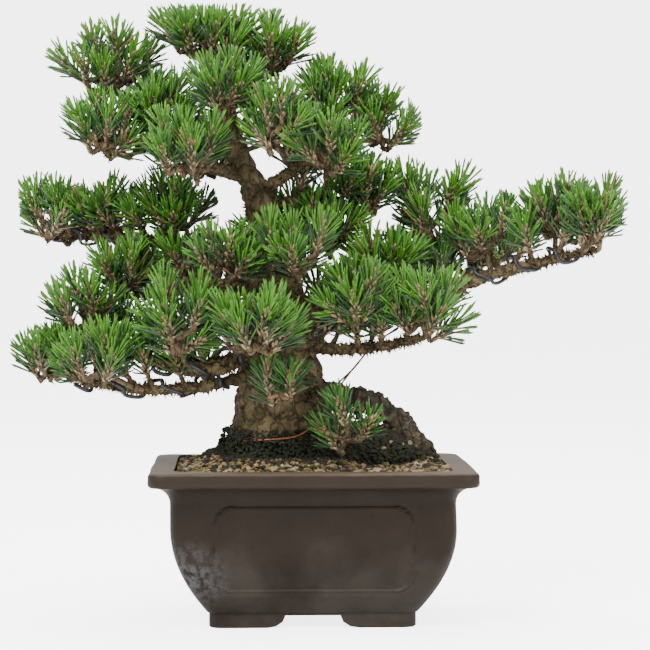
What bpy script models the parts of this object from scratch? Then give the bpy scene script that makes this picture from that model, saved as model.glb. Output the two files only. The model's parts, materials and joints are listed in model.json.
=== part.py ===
"""A Japanese black pine bonsai of the short-needled kind, in a rectangular brown training pot.

The trunk stands left of the middle of the pot, flares into its surface roots, and leans left towards
its tip. Boughs carry pads of needles, and one long bough reaches out to the right over the pot's edge.

Lengths are in millimetres in the tables and functions below, and meshes are made in metres.
X runs to the right as the tree is looked at, Y runs away from the viewer, and Z runs up from the
surface that the pot stands on. The origin is under the middle of the pot.
"""

import math
import random
from collections import namedtuple

import bmesh
import bpy
from mathutils import Matrix, Vector

MM = 0.001
GAP = 0.3
UP = Vector((0.0, 0.0, 1.0))

# Pot: a rim over a bowl-shaped body, on a band of feet with a cut-out in each side.
RIM_LENGTH = 190.0
RIM_DEPTH = 150.0
POT_HEIGHT = 92.8
RIM_FACE = 8.7
RIM_TOP_WIDTH = 14.5
BODY_INSET = 12.5
BODY_TOP = 74.0
BODY_WIDEST = 60.0
FOOT_HEIGHT = 9.0
FOOT_INSET = 34.5
WALL = 5.0
FLOOR_TOP = 16.0
RIM_CORNER = 10.0
FOOT_CORNER = 7.0
CORNER_STEPS = 3
UNDERSIDE_RECESS = 8.0
FOOT_BAND = 11.0
CUTOUT_HEIGHT = 7.4
FRONT_CUTOUT = (54.0, 32.0)
SIDE_CUTOUT = (34.0, 18.0)
DRAIN_RADIUS = 7.0
DRAIN_SPACING = 62.0
PANEL_DEPTH = 1.4
PANEL_BOTTOM = 23.0
PANEL_TOP = 72.0
FRONT_PANEL_WIDTH = 115.0
SIDE_PANEL_WIDTH = 76.0
PANEL_CORNER = 7.0
PANEL_REACH = 12.0
RIM_EDGE = 1.2
RIM_LIP = 1.0
FOOT_LEDGE = 1.0
LEAST_CORNER = 2.0
BOWL_STEPS = 6
CAVITY_STEPS = 4
ARC_TURNS = tuple(math.radians(30.0 * step) for step in (1, 2, 3))
DRAIN_SIDES = 16
# Cutters run past the faces that they cut by this much, or by OVERSHOOT above the rim and outside.
CUT_MARGIN = 1.0
OVERSHOOT = 5.0

# Soil: level with the rim at the walls, and higher round the trunk.
SOIL_EDGE = 91.8
GROUND = 97.0
SOIL_RIM_SLOPE = 1.0
SOIL_RINGS = (0.88, 0.74, 0.58, 0.36)
MOUND_CENTRE = Vector((-20.0, 5.0))
MOUND_FLAT = 40.0
MOUND_FOOT = 58.0
# Heaps of moss and soil: centre and half sizes.
HEAPS = (
    (Vector((22.0, 6.0, 97.0)), Vector((40.0, 22.0, 19.5))),
    (Vector((68.0, 12.0, 89.0)), Vector((11.5, 17.0, 7.1))),
    (Vector((-56.0, 4.0, 95.0)), Vector((9.0, 14.0, 6.0))),
)

# Trunk stations from the ground to the tip: height, X, Y, radius.
TRUNK = (
    (97.0, -20.5, 5.0, 30.5),
    (104.0, -20.0, 5.0, 29.0),
    (115.0, -18.5, 5.0, 27.5),
    (131.0, -17.8, 5.0, 26.8),
    (147.0, -18.5, 6.0, 25.0),
    (165.0, -20.0, 8.0, 22.5),
    (184.0, -21.5, 10.0, 19.5),
    (208.0, -23.0, 10.0, 16.0),
    (229.0, -24.5, 9.0, 13.0),
    (247.0, -29.0, 7.0, 10.8),
    (261.0, -35.0, 4.0, 9.4),
    (274.0, -42.0, 2.0, 8.0),
    (288.0, -46.5, 2.0, 6.6),
    (305.0, -49.0, 2.0, 4.8),
    (331.0, -51.0, 2.0, 2.4),
)
TRUNK_SIDES = 16
# Root flare: directions of the ridges in degrees, their spread, and how far they stand out at the ground.
FLARE_TURNS = (2.0, 62.0, 118.0, 182.0, 236.0, 304.0)
FLARE_SPREAD = 24.0
FLARE_SWELL = 0.24
FLARE_FADE = 17.0

Bough = namedtuple("Bough", "name parent start tip arch sweep radii")
# A bough leaves its parent at the share `start` of the parent's length and ends at `tip`. At its
# middle it stands `arch` above and `sweep` to the left of the straight line.
BOUGHS = (
    Bough("surface_root", "trunk", 0.13, (73.0, 12.0, 92.0), 16.0, 0.0, (6.0, 7.0)),
    Bough("lower_left_bough", "trunk", 0.235, (-145.0, -14.0, 146.0), -11.0, 24.0, (4.6, 1.8)),
    Bough("elbow_bough", "trunk", 0.315, (-124.0, -20.0, 170.0), -20.0, 27.0, (7.0, 2.6)),
    Bough("left_bough", "trunk", 0.400, (-104.0, 5.0, 193.0), 8.0, 4.0, (5.2, 2.2)),
    Bough("mid_left_bough", "trunk", 0.478, (-158.0, 44.0, 229.0), 5.0, 9.0, (5.4, 1.7)),
    Bough("upper_left_bough", "trunk", 0.712, (-107.0, 12.0, 305.0), -8.0, 12.0, (5.0, 2.2)),
    Bough("right_upper_bough", "trunk", 0.672, (16.0, 0.0, 292.0), -5.0, -6.0, (4.8, 2.2)),
    Bough("upper_right_spur", "trunk", 0.608, (28.0, 4.0, 240.0), 10.0, -3.0, (3.6, 1.8)),
    Bough("right_bough", "trunk", 0.396, (90.0, -10.0, 200.0), -14.0, -6.0, (8.6, 6.2)),
    Bough("right_outer_bough", "right_bough", 1.0, (163.0, -48.0, 220.0), 1.0, 3.0, (4.4, 1.9)),
    Bough("lower_right_bough", "trunk", 0.308, (62.0, -42.0, 169.0), -8.0, -8.0, (4.8, 2.2)),
    Bough("low_right_bough", "trunk", 0.245, (4.0, -46.0, 118.0), 2.0, 9.0, (5.6, 4.2)),
    Bough("back_low_bough", "trunk", 0.240, (4.0, 54.0, 168.0), -4.0, 4.0, (5.2, 2.4)),
    Bough("back_right_bough", "trunk", 0.350, (52.0, 46.0, 196.0), -5.0, 5.0, (5.0, 2.2)),
    Bough("back_left_bough", "trunk", 0.360, (-72.0, 52.0, 192.0), -5.0, -5.0, (5.0, 2.2)),
)
BOUGH_STEPS = 7
# A bough that grows on from another's tip first runs straight on.
STRAIGHT_START = 3.0
# The surface root is cut off just under the top of the soil.
ROOT_DEPTH = 0.6
GROUND_BLOCK = 40.0

Mass = namedtuple("Mass", "name limb start centre radii tufts")
# A mass of needles fills the ellipsoid at `centre` with half sizes `radii`, and its stem meets
# the limb at the share `start` of the limb's length.
MASSES = (
    Mass("apex_top_needles", "trunk", 1.00, (-63.0, 0.0, 345.0), (28.0, 25.0, 22.0), 5),
    Mass("apex_right_needles", "trunk", 0.93, (-22.0, 5.0, 338.0), (20.0, 21.0, 22.0), 3),
    Mass("apex_front_needles", "trunk", 0.86, (-51.0, -38.0, 311.0), (23.0, 18.0, 18.0), 3),
    Mass("apex_back_needles", "trunk", 0.87, (-50.0, 38.0, 318.0), (26.0, 20.0, 20.0), 3),
    Mass("upper_left_top_needles", "upper_left_bough", 1.00, (-119.0, 14.0, 328.0), (28.0, 23.0, 24.0), 5),
    Mass("upper_left_low_needles", "upper_left_bough", 0.80, (-122.0, -14.0, 289.0), (24.0, 22.0, 19.0), 4),
    Mass("upper_centre_left_needles", "upper_left_bough", 0.42, (-86.0, -10.0, 302.0), (18.0, 19.0, 19.0), 3),
    Mass("upper_centre_low_needles", "trunk", 0.715, (-72.0, -46.0, 277.0), (24.0, 22.0, 20.0), 4),
    Mass("upper_centre_right_needles", "trunk", 0.775, (-24.0, -42.0, 292.0), (19.0, 20.0, 20.0), 3),
    Mass("upper_right_top_needles", "right_upper_bough", 1.00, (14.0, 2.0, 311.0), (25.0, 23.0, 19.0), 4),
    Mass("upper_right_tip_needles", "right_upper_bough", 0.80, (42.0, 12.0, 296.0), (17.0, 20.0, 21.0), 3),
    Mass("upper_right_front_needles", "right_upper_bough", 0.55, (8.0, -36.0, 277.0), (24.0, 20.0, 19.0), 3),
    Mass("upper_right_low_needles", "upper_right_spur", 1.00, (34.0, 5.0, 254.0), (17.0, 18.0, 17.0), 3),
    Mass("mid_left_tip_needles", "mid_left_bough", 1.00, (-159.0, 46.0, 242.0), (20.5, 21.0, 19.0), 3),
    Mass("mid_left_needles", "mid_left_bough", 0.72, (-124.0, 30.0, 241.0), (21.0, 22.0, 20.0), 3),
    Mass("mid_left_inner_needles", "mid_left_bough", 0.42, (-86.0, 20.0, 243.0), (21.0, 22.0, 20.0), 3),
    Mass("centre_left_needles", "trunk", 0.49, (-48.0, -42.0, 216.0), (20.0, 18.0, 16.0), 3),
    Mass("centre_needles", "trunk", 0.47, (-10.0, -50.0, 217.0), (23.0, 22.0, 22.0), 4),
    Mass("centre_low_needles", "trunk", 0.30, (-34.0, -72.0, 175.0), (31.0, 26.0, 20.0), 5),
    Mass("centre_right_needles", "trunk", 0.575, (11.0, -8.0, 233.0), (19.0, 18.0, 17.0), 3),
    Mass("left_top_needles", "left_bough", 1.00, (-111.0, 6.0, 205.0), (23.0, 23.0, 19.0), 4),
    Mass("left_outer_needles", "elbow_bough", 1.00, (-132.0, -17.0, 185.0), (20.0, 21.0, 20.0), 3),
    Mass("left_tip_needles", "lower_left_bough", 1.00, (-153.0, -10.0, 157.0), (18.0, 18.0, 15.0), 3),
    Mass("left_low_needles", "lower_left_bough", 0.68, (-121.0, -46.0, 157.0), (21.0, 20.0, 18.0), 3),
    Mass("left_middle_needles", "elbow_bough", 0.56, (-78.0, -58.0, 177.0), (21.0, 22.0, 26.0), 4),
    Mass("right_centre_top_needles", "right_bough", 0.52, (42.0, -14.0, 213.0), (23.0, 21.0, 17.0), 3),
    Mass("right_centre_needles", "lower_right_bough", 0.62, (24.0, -52.0, 192.0), (20.0, 21.0, 18.0), 3),
    Mass("right_low_needles", "lower_right_bough", 1.00, (63.0, -46.0, 187.0), (23.0, 21.0, 20.0), 4),
    Mass("right_inner_needles", "right_bough", 0.86, (72.0, 18.0, 246.0), (27.0, 24.0, 26.0), 4),
    Mass("right_middle_needles", "right_outer_bough", 0.22, (104.0, -8.0, 229.0), (21.0, 21.0, 19.0), 3),
    Mass("right_outer_needles", "right_outer_bough", 0.70, (143.0, -24.0, 240.0), (20.0, 21.0, 21.0), 3),
    Mass("right_tip_needles", "right_outer_bough", 1.00, (164.0, -55.0, 239.0), (17.0, 19.0, 19.0), 3),
    Mass("low_front_needles", "trunk", 0.17, (-19.0, -52.0, 143.0), (18.0, 18.0, 12.0), 3),
    Mass("low_right_needles", "low_right_bough", 1.00, (18.0, -49.0, 119.0), (17.0, 18.0, 19.0), 3),
    Mass("back_low_needles", "back_low_bough", 1.00, (6.0, 74.0, 182.0), (32.0, 26.0, 21.0), 4),
    Mass("back_right_needles", "back_right_bough", 1.00, (62.0, 60.0, 210.0), (28.0, 26.0, 21.0), 4),
    Mass("back_left_needles", "back_left_bough", 1.00, (-80.0, 70.0, 205.0), (31.0, 27.0, 21.0), 4),
    Mass("back_middle_needles", "trunk", 0.565, (-12.0, 52.0, 240.0), (28.0, 26.0, 21.0), 4),
    Mass("back_upper_needles", "trunk", 0.69, (-64.0, 48.0, 279.0), (27.0, 24.0, 19.0), 3),
    Mass("back_upper_right_needles", "right_upper_bough", 0.34, (-4.0, 44.0, 286.0), (25.0, 22.0, 20.0), 3),
    Mass("right_back_needles", "right_bough", 0.92, (106.0, 36.0, 222.0), (24.0, 22.0, 19.0), 3),
)
NEEDLE_LENGTH = 24.0
CORE_RADIUS = 3.8
CORE_HALF_LENGTH = 6.5
TWIG_RADIUS = 1.0
STEM_RADIUS = 1.7
# The flat sides of a bough lie this far inside its radius.
FACET_DEPTH = 0.25
MASS_GAP = 0.4
TUFT_GAP = 0.1
# Tufts: the lowest place and the span of places on a unit ball, the share of the way out from the
# centre, how far they are lowered, and how much they turn upward.
LOWEST_TUFT = -0.15
TUFT_SPAN = 1.1
TUFT_SHARE = 0.48
TUFT_DROP = 4.0
TUFT_RISE = 0.6
# A tuft that stands too near a neighbour is pulled in by this share, this many times at most.
TUFT_PULL = 0.15
TUFT_PULLS = 12
# Needles: the lowest direction that still grows one, how much they lean forward, the shortest one
# that is kept, and the room that one needs at its foot and tip.
LOWEST_NEEDLE = -0.2
NEEDLE_LEAN = 0.35
SHORTEST_NEEDLE = 6.0
NEEDLE_SPREAD = (0.86, 1.0)
NEEDLE_FOOT = 0.6 * CORE_RADIUS
NEEDLE_TIP = 0.1
# The stem ends below the centre by this share of the mass's half height, and thins at each joint.
HUB_DROP = 0.45
STEM_TAPER = 0.12
TWIG_TAPER = 1.2
# A twig leaves the joint that is near its tuft, and nearer the hub counts for half as much.
HUB_WEIGHT = 0.5
NEXT_JOINT = 0.6
LEAST_ACROSS = 0.05
ROD_CHECKS = 8
GOLDEN_ANGLE = math.radians(137.5)

POT_BROWN = (0.055, 0.038, 0.029, 1.0)
SOIL_BROWN = (0.11, 0.085, 0.05, 1.0)
BARK_GREY = (0.20, 0.155, 0.105, 1.0)
NEEDLE_GREEN = (0.06, 0.17, 0.03, 1.0)


def clear_scene():
    for old in list(bpy.data.objects):
        bpy.data.objects.remove(old)


def make_material(name, colour, roughness):
    material = bpy.data.materials.new(name)
    material.use_nodes = True
    shader = material.node_tree.nodes["Principled BSDF"]
    shader.inputs["Base Color"].default_value = colour
    shader.inputs["Roughness"].default_value = roughness
    shader.inputs["Metallic"].default_value = 0.0
    return material


def make_collection(name):
    collection = bpy.data.collections.new(name)
    bpy.context.scene.collection.children.link(collection)
    return collection


def add_object(name, bm, collection, material=None):
    """Turn a bmesh in millimetres into an object in metres."""
    bmesh.ops.recalc_face_normals(bm, faces=bm.faces[:])
    bmesh.ops.scale(bm, vec=Vector((MM, MM, MM)), verts=bm.verts[:])
    mesh = bpy.data.meshes.new(name)
    bm.to_mesh(mesh)
    bm.free()
    thing = bpy.data.objects.new(name, mesh)
    collection.objects.link(thing)
    if material:
        mesh.materials.append(material)
    return thing


def as_cutter(thing):
    """Show an object as a cutting shape: wires only, and not in renders."""
    thing.hide_render = True
    thing.display_type = "WIRE"
    return thing


def add_cutter(name, bm, cutters):
    return as_cutter(add_object(name, bm, cutters))


def combine(thing, operand, operation, solver="EXACT"):
    """Apply a Boolean with one object, or with all of a collection's objects."""
    modifier = thing.modifiers.new(operation.title(), "BOOLEAN")
    modifier.operation = operation
    modifier.solver = solver
    if isinstance(operand, bpy.types.Collection):
        modifier.operand_type = "COLLECTION"
        modifier.collection = operand
    else:
        modifier.object = operand
    shape = thing.evaluated_get(bpy.context.evaluated_depsgraph_get())
    mesh = bpy.data.meshes.new_from_object(shape)
    thing.modifiers.remove(modifier)
    old = thing.data
    thing.data = mesh
    bpy.data.meshes.remove(old)


def loft(rings):
    """Skin a stack of rings that have the same number of points, with a flat cap at each end."""
    bm = bmesh.new()
    rows = [[bm.verts.new(point) for point in ring] for ring in rings]
    for low, high in zip(rows, rows[1:]):
        for i, vert in enumerate(low):
            j = (i + 1) % len(low)
            bm.faces.new((vert, low[j], high[j]))
            bm.faces.new((vert, high[j], high[i]))
    bm.faces.new(rows[0])
    bm.faces.new(rows[-1])
    return bm


def rounded_rectangle(half_x, half_y, corner, z):
    """Points round a rectangle with rounded corners, anticlockwise from +X."""
    points = []
    for quarter, (sign_x, sign_y) in enumerate(((1, 1), (-1, 1), (-1, -1), (1, -1))):
        for step in range(CORNER_STEPS + 1):
            turn = math.radians(90.0 * (quarter + step / CORNER_STEPS))
            x = sign_x * (half_x - corner) + corner * math.cos(turn)
            y = sign_y * (half_y - corner) + corner * math.sin(turn)
            points.append(Vector((x, y, z)))
    return points


def pot_section(inset, z, shrink=0.0):
    """The pot's outline at a height, set in from the rim's outline by the same width all round."""
    blend = min(1.0, inset / FOOT_INSET)
    corner = RIM_CORNER + (FOOT_CORNER - RIM_CORNER) * blend
    half_x = RIM_LENGTH / 2 - inset - shrink
    half_y = RIM_DEPTH / 2 - inset - shrink
    return rounded_rectangle(half_x, half_y, max(corner - shrink, LEAST_CORNER), z)


def bowl_inset(z):
    """The body narrows from its widest part to the feet along a parabola."""
    drop = (BODY_WIDEST - z) / (BODY_WIDEST - FOOT_HEIGHT)
    return BODY_INSET + (FOOT_INSET - FOOT_LEDGE - BODY_INSET) * max(drop, 0.0) ** 2


def body_profile():
    """Insets and heights from the feet up to the underside of the rim."""
    rise = BODY_WIDEST - FOOT_HEIGHT
    heights = [FOOT_HEIGHT + rise * step / BOWL_STEPS for step in range(BOWL_STEPS + 1)]
    profile = [(bowl_inset(z), z) for z in heights]
    profile.append((BODY_INSET, BODY_TOP))
    rim_bottom = POT_HEIGHT - RIM_FACE
    for turn in ARC_TURNS:
        inset = RIM_LIP + (BODY_INSET - RIM_LIP) * math.cos(turn)
        profile.append((inset, BODY_TOP + (rim_bottom - BODY_TOP) * math.sin(turn)))
    return profile


def inner_profile():
    """Insets and heights of the cavity, from its floor to the rim's inner edge."""
    profile = []
    for step in range(CAVITY_STEPS + 1):
        z = FLOOR_TOP + (BODY_WIDEST - FLOOR_TOP) * step / CAVITY_STEPS
        profile.append((bowl_inset(z) + WALL, z))
    profile.append((BODY_INSET + WALL, BODY_TOP))
    profile.append((RIM_TOP_WIDTH, POT_HEIGHT))
    return profile


def pot_outside():
    rings = [pot_section(FOOT_INSET, 0.0), pot_section(FOOT_INSET, FOOT_HEIGHT)]
    rings += [pot_section(inset, z) for inset, z in body_profile()]
    rings.append(pot_section(0.0, POT_HEIGHT - RIM_FACE + RIM_EDGE))
    rings.append(pot_section(0.0, POT_HEIGHT - RIM_EDGE))
    rings.append(pot_section(RIM_EDGE, POT_HEIGHT))
    return rings


def bowl_rings(shrink):
    """The body up to the start of the rim's curve, smaller all round, as a guide for the panels' depth."""
    return [pot_section(inset, z, shrink) for inset, z in body_profile()[:BOWL_STEPS + 3]]


def cutout_bar(widths, axis, half_run):
    """A bar under the pot that is wide at the ground and narrows to its flat top in two arcs."""
    wide, narrow = widths
    outline = [(-wide / 2, -CUT_MARGIN), (wide / 2, -CUT_MARGIN), (wide / 2, 0.0)]
    reach = (wide - narrow) / 2
    for turn in ARC_TURNS:
        outline.append((wide / 2 - reach * math.sin(turn), CUTOUT_HEIGHT * (1.0 - math.cos(turn))))
    outline += [(-x, z) for x, z in reversed(outline[2:])]
    ends = []
    for side in (-half_run, half_run):
        if axis == "Y":
            ends.append([Vector((x, side, z)) for x, z in outline])
        else:
            ends.append([Vector((side, x, z)) for x, z in outline])
    return loft(ends)


def panel_bar(width, axis, side):
    """A bar through one side wall, with the panel's outline and round corners."""
    middle = (PANEL_BOTTOM + PANEL_TOP) / 2
    flat = rounded_rectangle(width / 2, (PANEL_TOP - PANEL_BOTTOM) / 2, PANEL_CORNER, 0.0)
    depth = RIM_DEPTH / 2 if axis == "Y" else RIM_LENGTH / 2
    ends = []
    for out in (depth - FOOT_INSET - PANEL_REACH, depth + OVERSHOOT):
        if axis == "Y":
            ends.append([Vector((p.x, side * out, middle + p.y)) for p in flat])
        else:
            ends.append([Vector((side * out, p.x, middle + p.y)) for p in flat])
    return loft(ends)


def make_pot(collection, cutters, material):
    pot = add_object("pot", loft(pot_outside()), collection, material)
    cavity = [pot_section(inset, z) for inset, z in inner_profile()]
    cavity.append(pot_section(RIM_TOP_WIDTH, POT_HEIGHT + OVERSHOOT))
    combine(pot, add_cutter("cavity", loft(cavity), cutters), "DIFFERENCE")
    recess = [pot_section(FOOT_INSET + FOOT_BAND, z) for z in (-CUT_MARGIN, UNDERSIDE_RECESS)]
    combine(pot, add_cutter("underside", loft(recess), cutters), "DIFFERENCE")
    front_bar = cutout_bar(FRONT_CUTOUT, "Y", RIM_DEPTH / 2)
    combine(pot, add_cutter("front_cutout", front_bar, cutters), "DIFFERENCE")
    side_bar = cutout_bar(SIDE_CUTOUT, "X", RIM_LENGTH / 2)
    combine(pot, add_cutter("side_cutout", side_bar, cutters), "DIFFERENCE")
    for side in (-1, 1):
        drain = bmesh.new()
        place = Matrix.Translation((side * DRAIN_SPACING / 2, 0.0, FLOOR_TOP / 2))
        bmesh.ops.create_cone(drain, cap_ends=True, segments=DRAIN_SIDES, radius1=DRAIN_RADIUS,
                              radius2=DRAIN_RADIUS, depth=FLOOR_TOP + 2 * OVERSHOOT, matrix=place)
        combine(pot, add_cutter("drain", drain, cutters), "DIFFERENCE")
    for axis, width in (("Y", FRONT_PANEL_WIDTH), ("X", SIDE_PANEL_WIDTH)):
        for side in (-1, 1):
            panel = add_cutter("panel", panel_bar(width, axis, side), cutters)
            core = add_cutter("panel_floor", loft(bowl_rings(PANEL_DEPTH)), cutters)
            combine(panel, core, "DIFFERENCE")
            combine(pot, panel, "DIFFERENCE")


def flare(turn, z):
    """How much wider the trunk is where a root ridge runs down it."""
    swell = 0.0
    for ridge in FLARE_TURNS:
        away = (math.degrees(turn) - ridge + 180.0) % 360.0 - 180.0
        swell += math.exp(-(away / FLARE_SPREAD) ** 2)
    return 1.0 + FLARE_SWELL * swell * math.exp(-(z - GROUND) / FLARE_FADE)


def trunk_rings(extra=0.0):
    rings = []
    for z, x, y, radius in TRUNK:
        ring = []
        for i in range(TRUNK_SIDES):
            turn = math.tau * i / TRUNK_SIDES
            reach = radius * flare(turn, z) + extra
            ring.append(Vector((x + reach * math.cos(turn), y + reach * math.sin(turn), z)))
        rings.append(ring)
    return rings


def trunk_cutter_rings():
    """The trunk with the gap all round it, and longer at the ground."""
    rings = trunk_rings(GAP)
    foot = [Vector((point.x, point.y, GROUND - GAP)) for point in rings[0]]
    tip = [Vector((point.x, point.y, point.z + GAP)) for point in rings[-1]]
    return [foot] + rings + [tip]


def bough_route(bough, limbs):
    """Points and radii along a bough, from inside its parent to its tip."""
    start, along, radius = limb_at(limbs[bough.parent], bough.start)
    route = []
    if bough.parent != "trunk":
        route.append((start + along * GAP, bough.radii[0]))
        start = start + along * STRAIGHT_START
    line = Vector(bough.tip) - start
    left = UP.cross(line).normalized()
    for step in range(BOUGH_STEPS + 1):
        t = step / BOUGH_STEPS
        bow = 4.0 * t * (1.0 - t)
        point = start + line * t + UP * (bough.arch * bow) + left * (bough.sweep * bow)
        route.append((point, bough.radii[0] + (bough.radii[1] - bough.radii[0]) * t))
    return route


def limb_at(route, share):
    """Point, direction and radius at a share of a limb's length."""
    spans = [(b[0] - a[0]).length for a, b in zip(route, route[1:])]
    left = share * sum(spans)
    for (a, radius_a), (b, radius_b), span in zip(route, route[1:], spans):
        if left <= span or b is route[-1][0]:
            t = min(left / span, 1.0)
            return a.lerp(b, t), (b - a).normalized(), radius_a + (radius_b - radius_a) * t
        left -= span
    return route[-1][0], (route[-1][0] - route[-2][0]).normalized(), route[-1][1]


def all_limbs():
    """Routes of the trunk and of every bough, by name."""
    limbs = {"trunk": [(Vector((x, y, z)), radius) for z, x, y, radius in TRUNK]}
    for bough in BOUGHS:
        limbs[bough.name] = bough_route(bough, limbs)
    return limbs


def tube(name, route, collection, material=None, extra=0.0, resolution=2):
    """A tapering tube with flat ends, as a mesh object."""
    curve = bpy.data.curves.new(name, "CURVE")
    curve.dimensions = "3D"
    curve.bevel_depth = MM
    curve.bevel_resolution = resolution
    curve.use_fill_caps = True
    spline = curve.splines.new("POLY")
    spline.points.add(len(route) - 1)
    for knot, (point, radius) in zip(spline.points, route):
        knot.co = (*(point * MM), 1.0)
        knot.radius = radius + extra
    guide = bpy.data.objects.new(name + "_guide", curve)
    collection.objects.link(guide)
    mesh = bpy.data.meshes.new_from_object(guide.evaluated_get(bpy.context.evaluated_depsgraph_get()))
    bpy.data.objects.remove(guide)
    bm = bmesh.new()
    bm.from_mesh(mesh)
    bmesh.ops.remove_doubles(bm, verts=bm.verts[:], dist=0.00001)
    bmesh.ops.recalc_face_normals(bm, faces=bm.faces[:])
    bm.to_mesh(mesh)
    bm.free()
    thing = bpy.data.objects.new(name, mesh)
    collection.objects.link(thing)
    if material:
        mesh.materials.append(material)
    return thing


def make_trunk(collection, cutters, material):
    """The trunk, and the cutter that keeps its space clear of what surrounds it."""
    add_object("trunk", loft(trunk_rings()), collection, material)
    return add_cutter("trunk_space", loft(trunk_cutter_rings()), cutters)


def make_boughs(limbs, trunk_space, collection, cutters, material):
    for bough in BOUGHS:
        route = limbs[bough.name]
        thing = tube(bough.name, route, collection, material)
        if bough.parent == "trunk":
            combine(thing, trunk_space, "DIFFERENCE")
        if bough.name == "surface_root":
            combine(thing, ground_cutter(route[-1][0], cutters), "DIFFERENCE")


def ground_cutter(foot, cutters):
    """A block below the ground where the surface root comes down."""
    block = bmesh.new()
    middle = GROUND - ROOT_DEPTH - GROUND_BLOCK / 2
    place = Matrix.Translation((foot.x, foot.y, middle)) @ Matrix.Scale(GROUND_BLOCK, 4)
    bmesh.ops.create_cube(block, size=1.0, matrix=place)
    return add_cutter("ground", block, cutters)


def ground_height(x, y):
    """The soil rises from the walls to a flat mound under the trunk."""
    away = (Vector((x, y)) - MOUND_CENTRE).length
    rise = min(max((MOUND_FOOT - away) / (MOUND_FOOT - MOUND_FLAT), 0.0), 1.0)
    return SOIL_EDGE + (GROUND - GAP - SOIL_EDGE) * rise


def make_soil(limbs, trunk_space, collection, cutters, material):
    rings = [pot_section(inset, z, GAP) for inset, z in inner_profile()[:-1]]
    for point in rings[0]:
        point.z += GAP
    edge = pot_section(RIM_TOP_WIDTH + SOIL_RIM_SLOPE, SOIL_EDGE, GAP)
    rings.append(edge)
    for share in SOIL_RINGS:
        rings.append([Vector((p.x * share, p.y * share, ground_height(p.x * share, p.y * share)))
                      for p in edge])
    soil = add_object("soil", loft(rings), collection, material)
    for centre, half in HEAPS:
        heap = bmesh.new()
        place = Matrix.Translation(centre) @ Matrix.Diagonal((*half, 1.0))
        bmesh.ops.create_icosphere(heap, subdivisions=2, radius=1.0, matrix=place)
        combine(soil, add_cutter("heap", heap, cutters), "UNION")
    combine(soil, trunk_space, "DIFFERENCE")
    root_space = as_cutter(tube("root_space", limbs["surface_root"], cutters, extra=GAP))
    combine(soil, root_space, "DIFFERENCE")


def stem_start(mass, limbs, toward):
    """Where a mass's stem leaves its limb: just past the tip, or just off the side."""
    point, along, radius = limb_at(limbs[mass.limb], mass.start)
    if mass.start >= 1.0:
        return point + along * GAP
    if mass.limb != "trunk":
        radius -= FACET_DEPTH
    way = (toward - point).normalized()
    lean = abs(way.dot(along))
    across = math.sqrt(max(1.0 - lean * lean, LEAST_ACROSS))
    return point + way * ((radius + GAP + STEM_RADIUS * lean) / across)


def dividing_planes(mass):
    """Planes between a mass and each neighbour whose space it would share."""
    centre = Vector(mass.centre)
    planes = []
    for other in MASSES:
        if other.name == mass.name:
            continue
        way = Vector(other.centre) - centre
        apart = way.length
        way.normalize()
        own = Vector(r * w for r, w in zip(mass.radii, way)).length
        theirs = Vector(r * w for r, w in zip(other.radii, way)).length
        if own + theirs > apart - MASS_GAP:
            planes.append((way, apart * own / (own + theirs) - MASS_GAP / 2))
    return planes


def reach_in_space(mass, planes, start, way, limit):
    """How far a needle can run from `start` along `way` inside the mass's own space."""
    local = start - Vector(mass.centre)
    scaled = Vector(p / r for p, r in zip(local, mass.radii))
    run = Vector(w / r for w, r in zip(way, mass.radii))
    a, b, c = run.dot(run), scaled.dot(run), scaled.dot(scaled) - 1.0
    root = b * b - a * c
    if root <= 0.0 or c >= 0.0:
        return 0.0
    limit = min(limit, (math.sqrt(root) - b) / a)
    for normal, offset in planes:
        toward = way.dot(normal)
        room = offset - local.dot(normal)
        if room <= 0.0:
            return 0.0
        if toward > 0.0:
            limit = min(limit, room / toward)
    return limit


def inside(planes, centre, point, margin):
    return all((point - centre).dot(normal) < offset - margin for normal, offset in planes)


def distance_to_limb(route, start, end, thick_start, thick_end):
    """Smallest room between a tapering rod and a limb."""
    room = math.inf
    for step in range(ROD_CHECKS + 1):
        t = step / ROD_CHECKS
        spot = start.lerp(end, t)
        thick = thick_start + (thick_end - thick_start) * t
        for (a, radius_a), (b, radius_b) in zip(route, route[1:]):
            line = b - a
            share = min(max((spot - a).dot(line) / line.length_squared, 0.0), 1.0)
            radius = radius_a + (radius_b - radius_a) * share
            room = min(room, (spot - a.lerp(b, share)).length - radius - thick)
    return room


def clears_limbs(limbs, start, end, thick_start, thick_end):
    return all(distance_to_limb(route, start, end, thick_start, thick_end) > GAP
               for route in limbs.values())


def tuft_sites(mass, planes, seed):
    """Base and direction of each tuft: spread over the upper part of the mass by the golden angle."""
    rng = random.Random(seed)
    centre = Vector(mass.centre)
    first = rng.uniform(0.0, math.tau)
    sites = []
    for i in range(mass.tufts):
        lift = LOWEST_TUFT + TUFT_SPAN * (i + 0.5) / mass.tufts
        turn = first + GOLDEN_ANGLE * i
        flat = math.sqrt(max(1.0 - lift * lift, 0.0))
        out = Vector((flat * math.cos(turn), flat * math.sin(turn), lift))
        base = centre + Vector(o * r * TUFT_SHARE for o, r in zip(out, mass.radii)) - UP * TUFT_DROP
        aim = (out + UP * TUFT_RISE).normalized()
        for _ in range(TUFT_PULLS):
            if inside(planes, centre, base, CORE_HALF_LENGTH):
                break
            base = base.lerp(centre, TUFT_PULL)
        sites.append((base, aim))
    return sites


def cell_planes(centre, base, sites):
    """Planes halfway between a tuft and the mass's other tufts, so that their needles don't cross."""
    planes = []
    for other, _ in sites:
        way = other - base
        if way.length > 0.0:
            way.normalize()
            planes.append((way, ((base + other) / 2 - centre).dot(way) - TUFT_GAP))
    return planes


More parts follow.
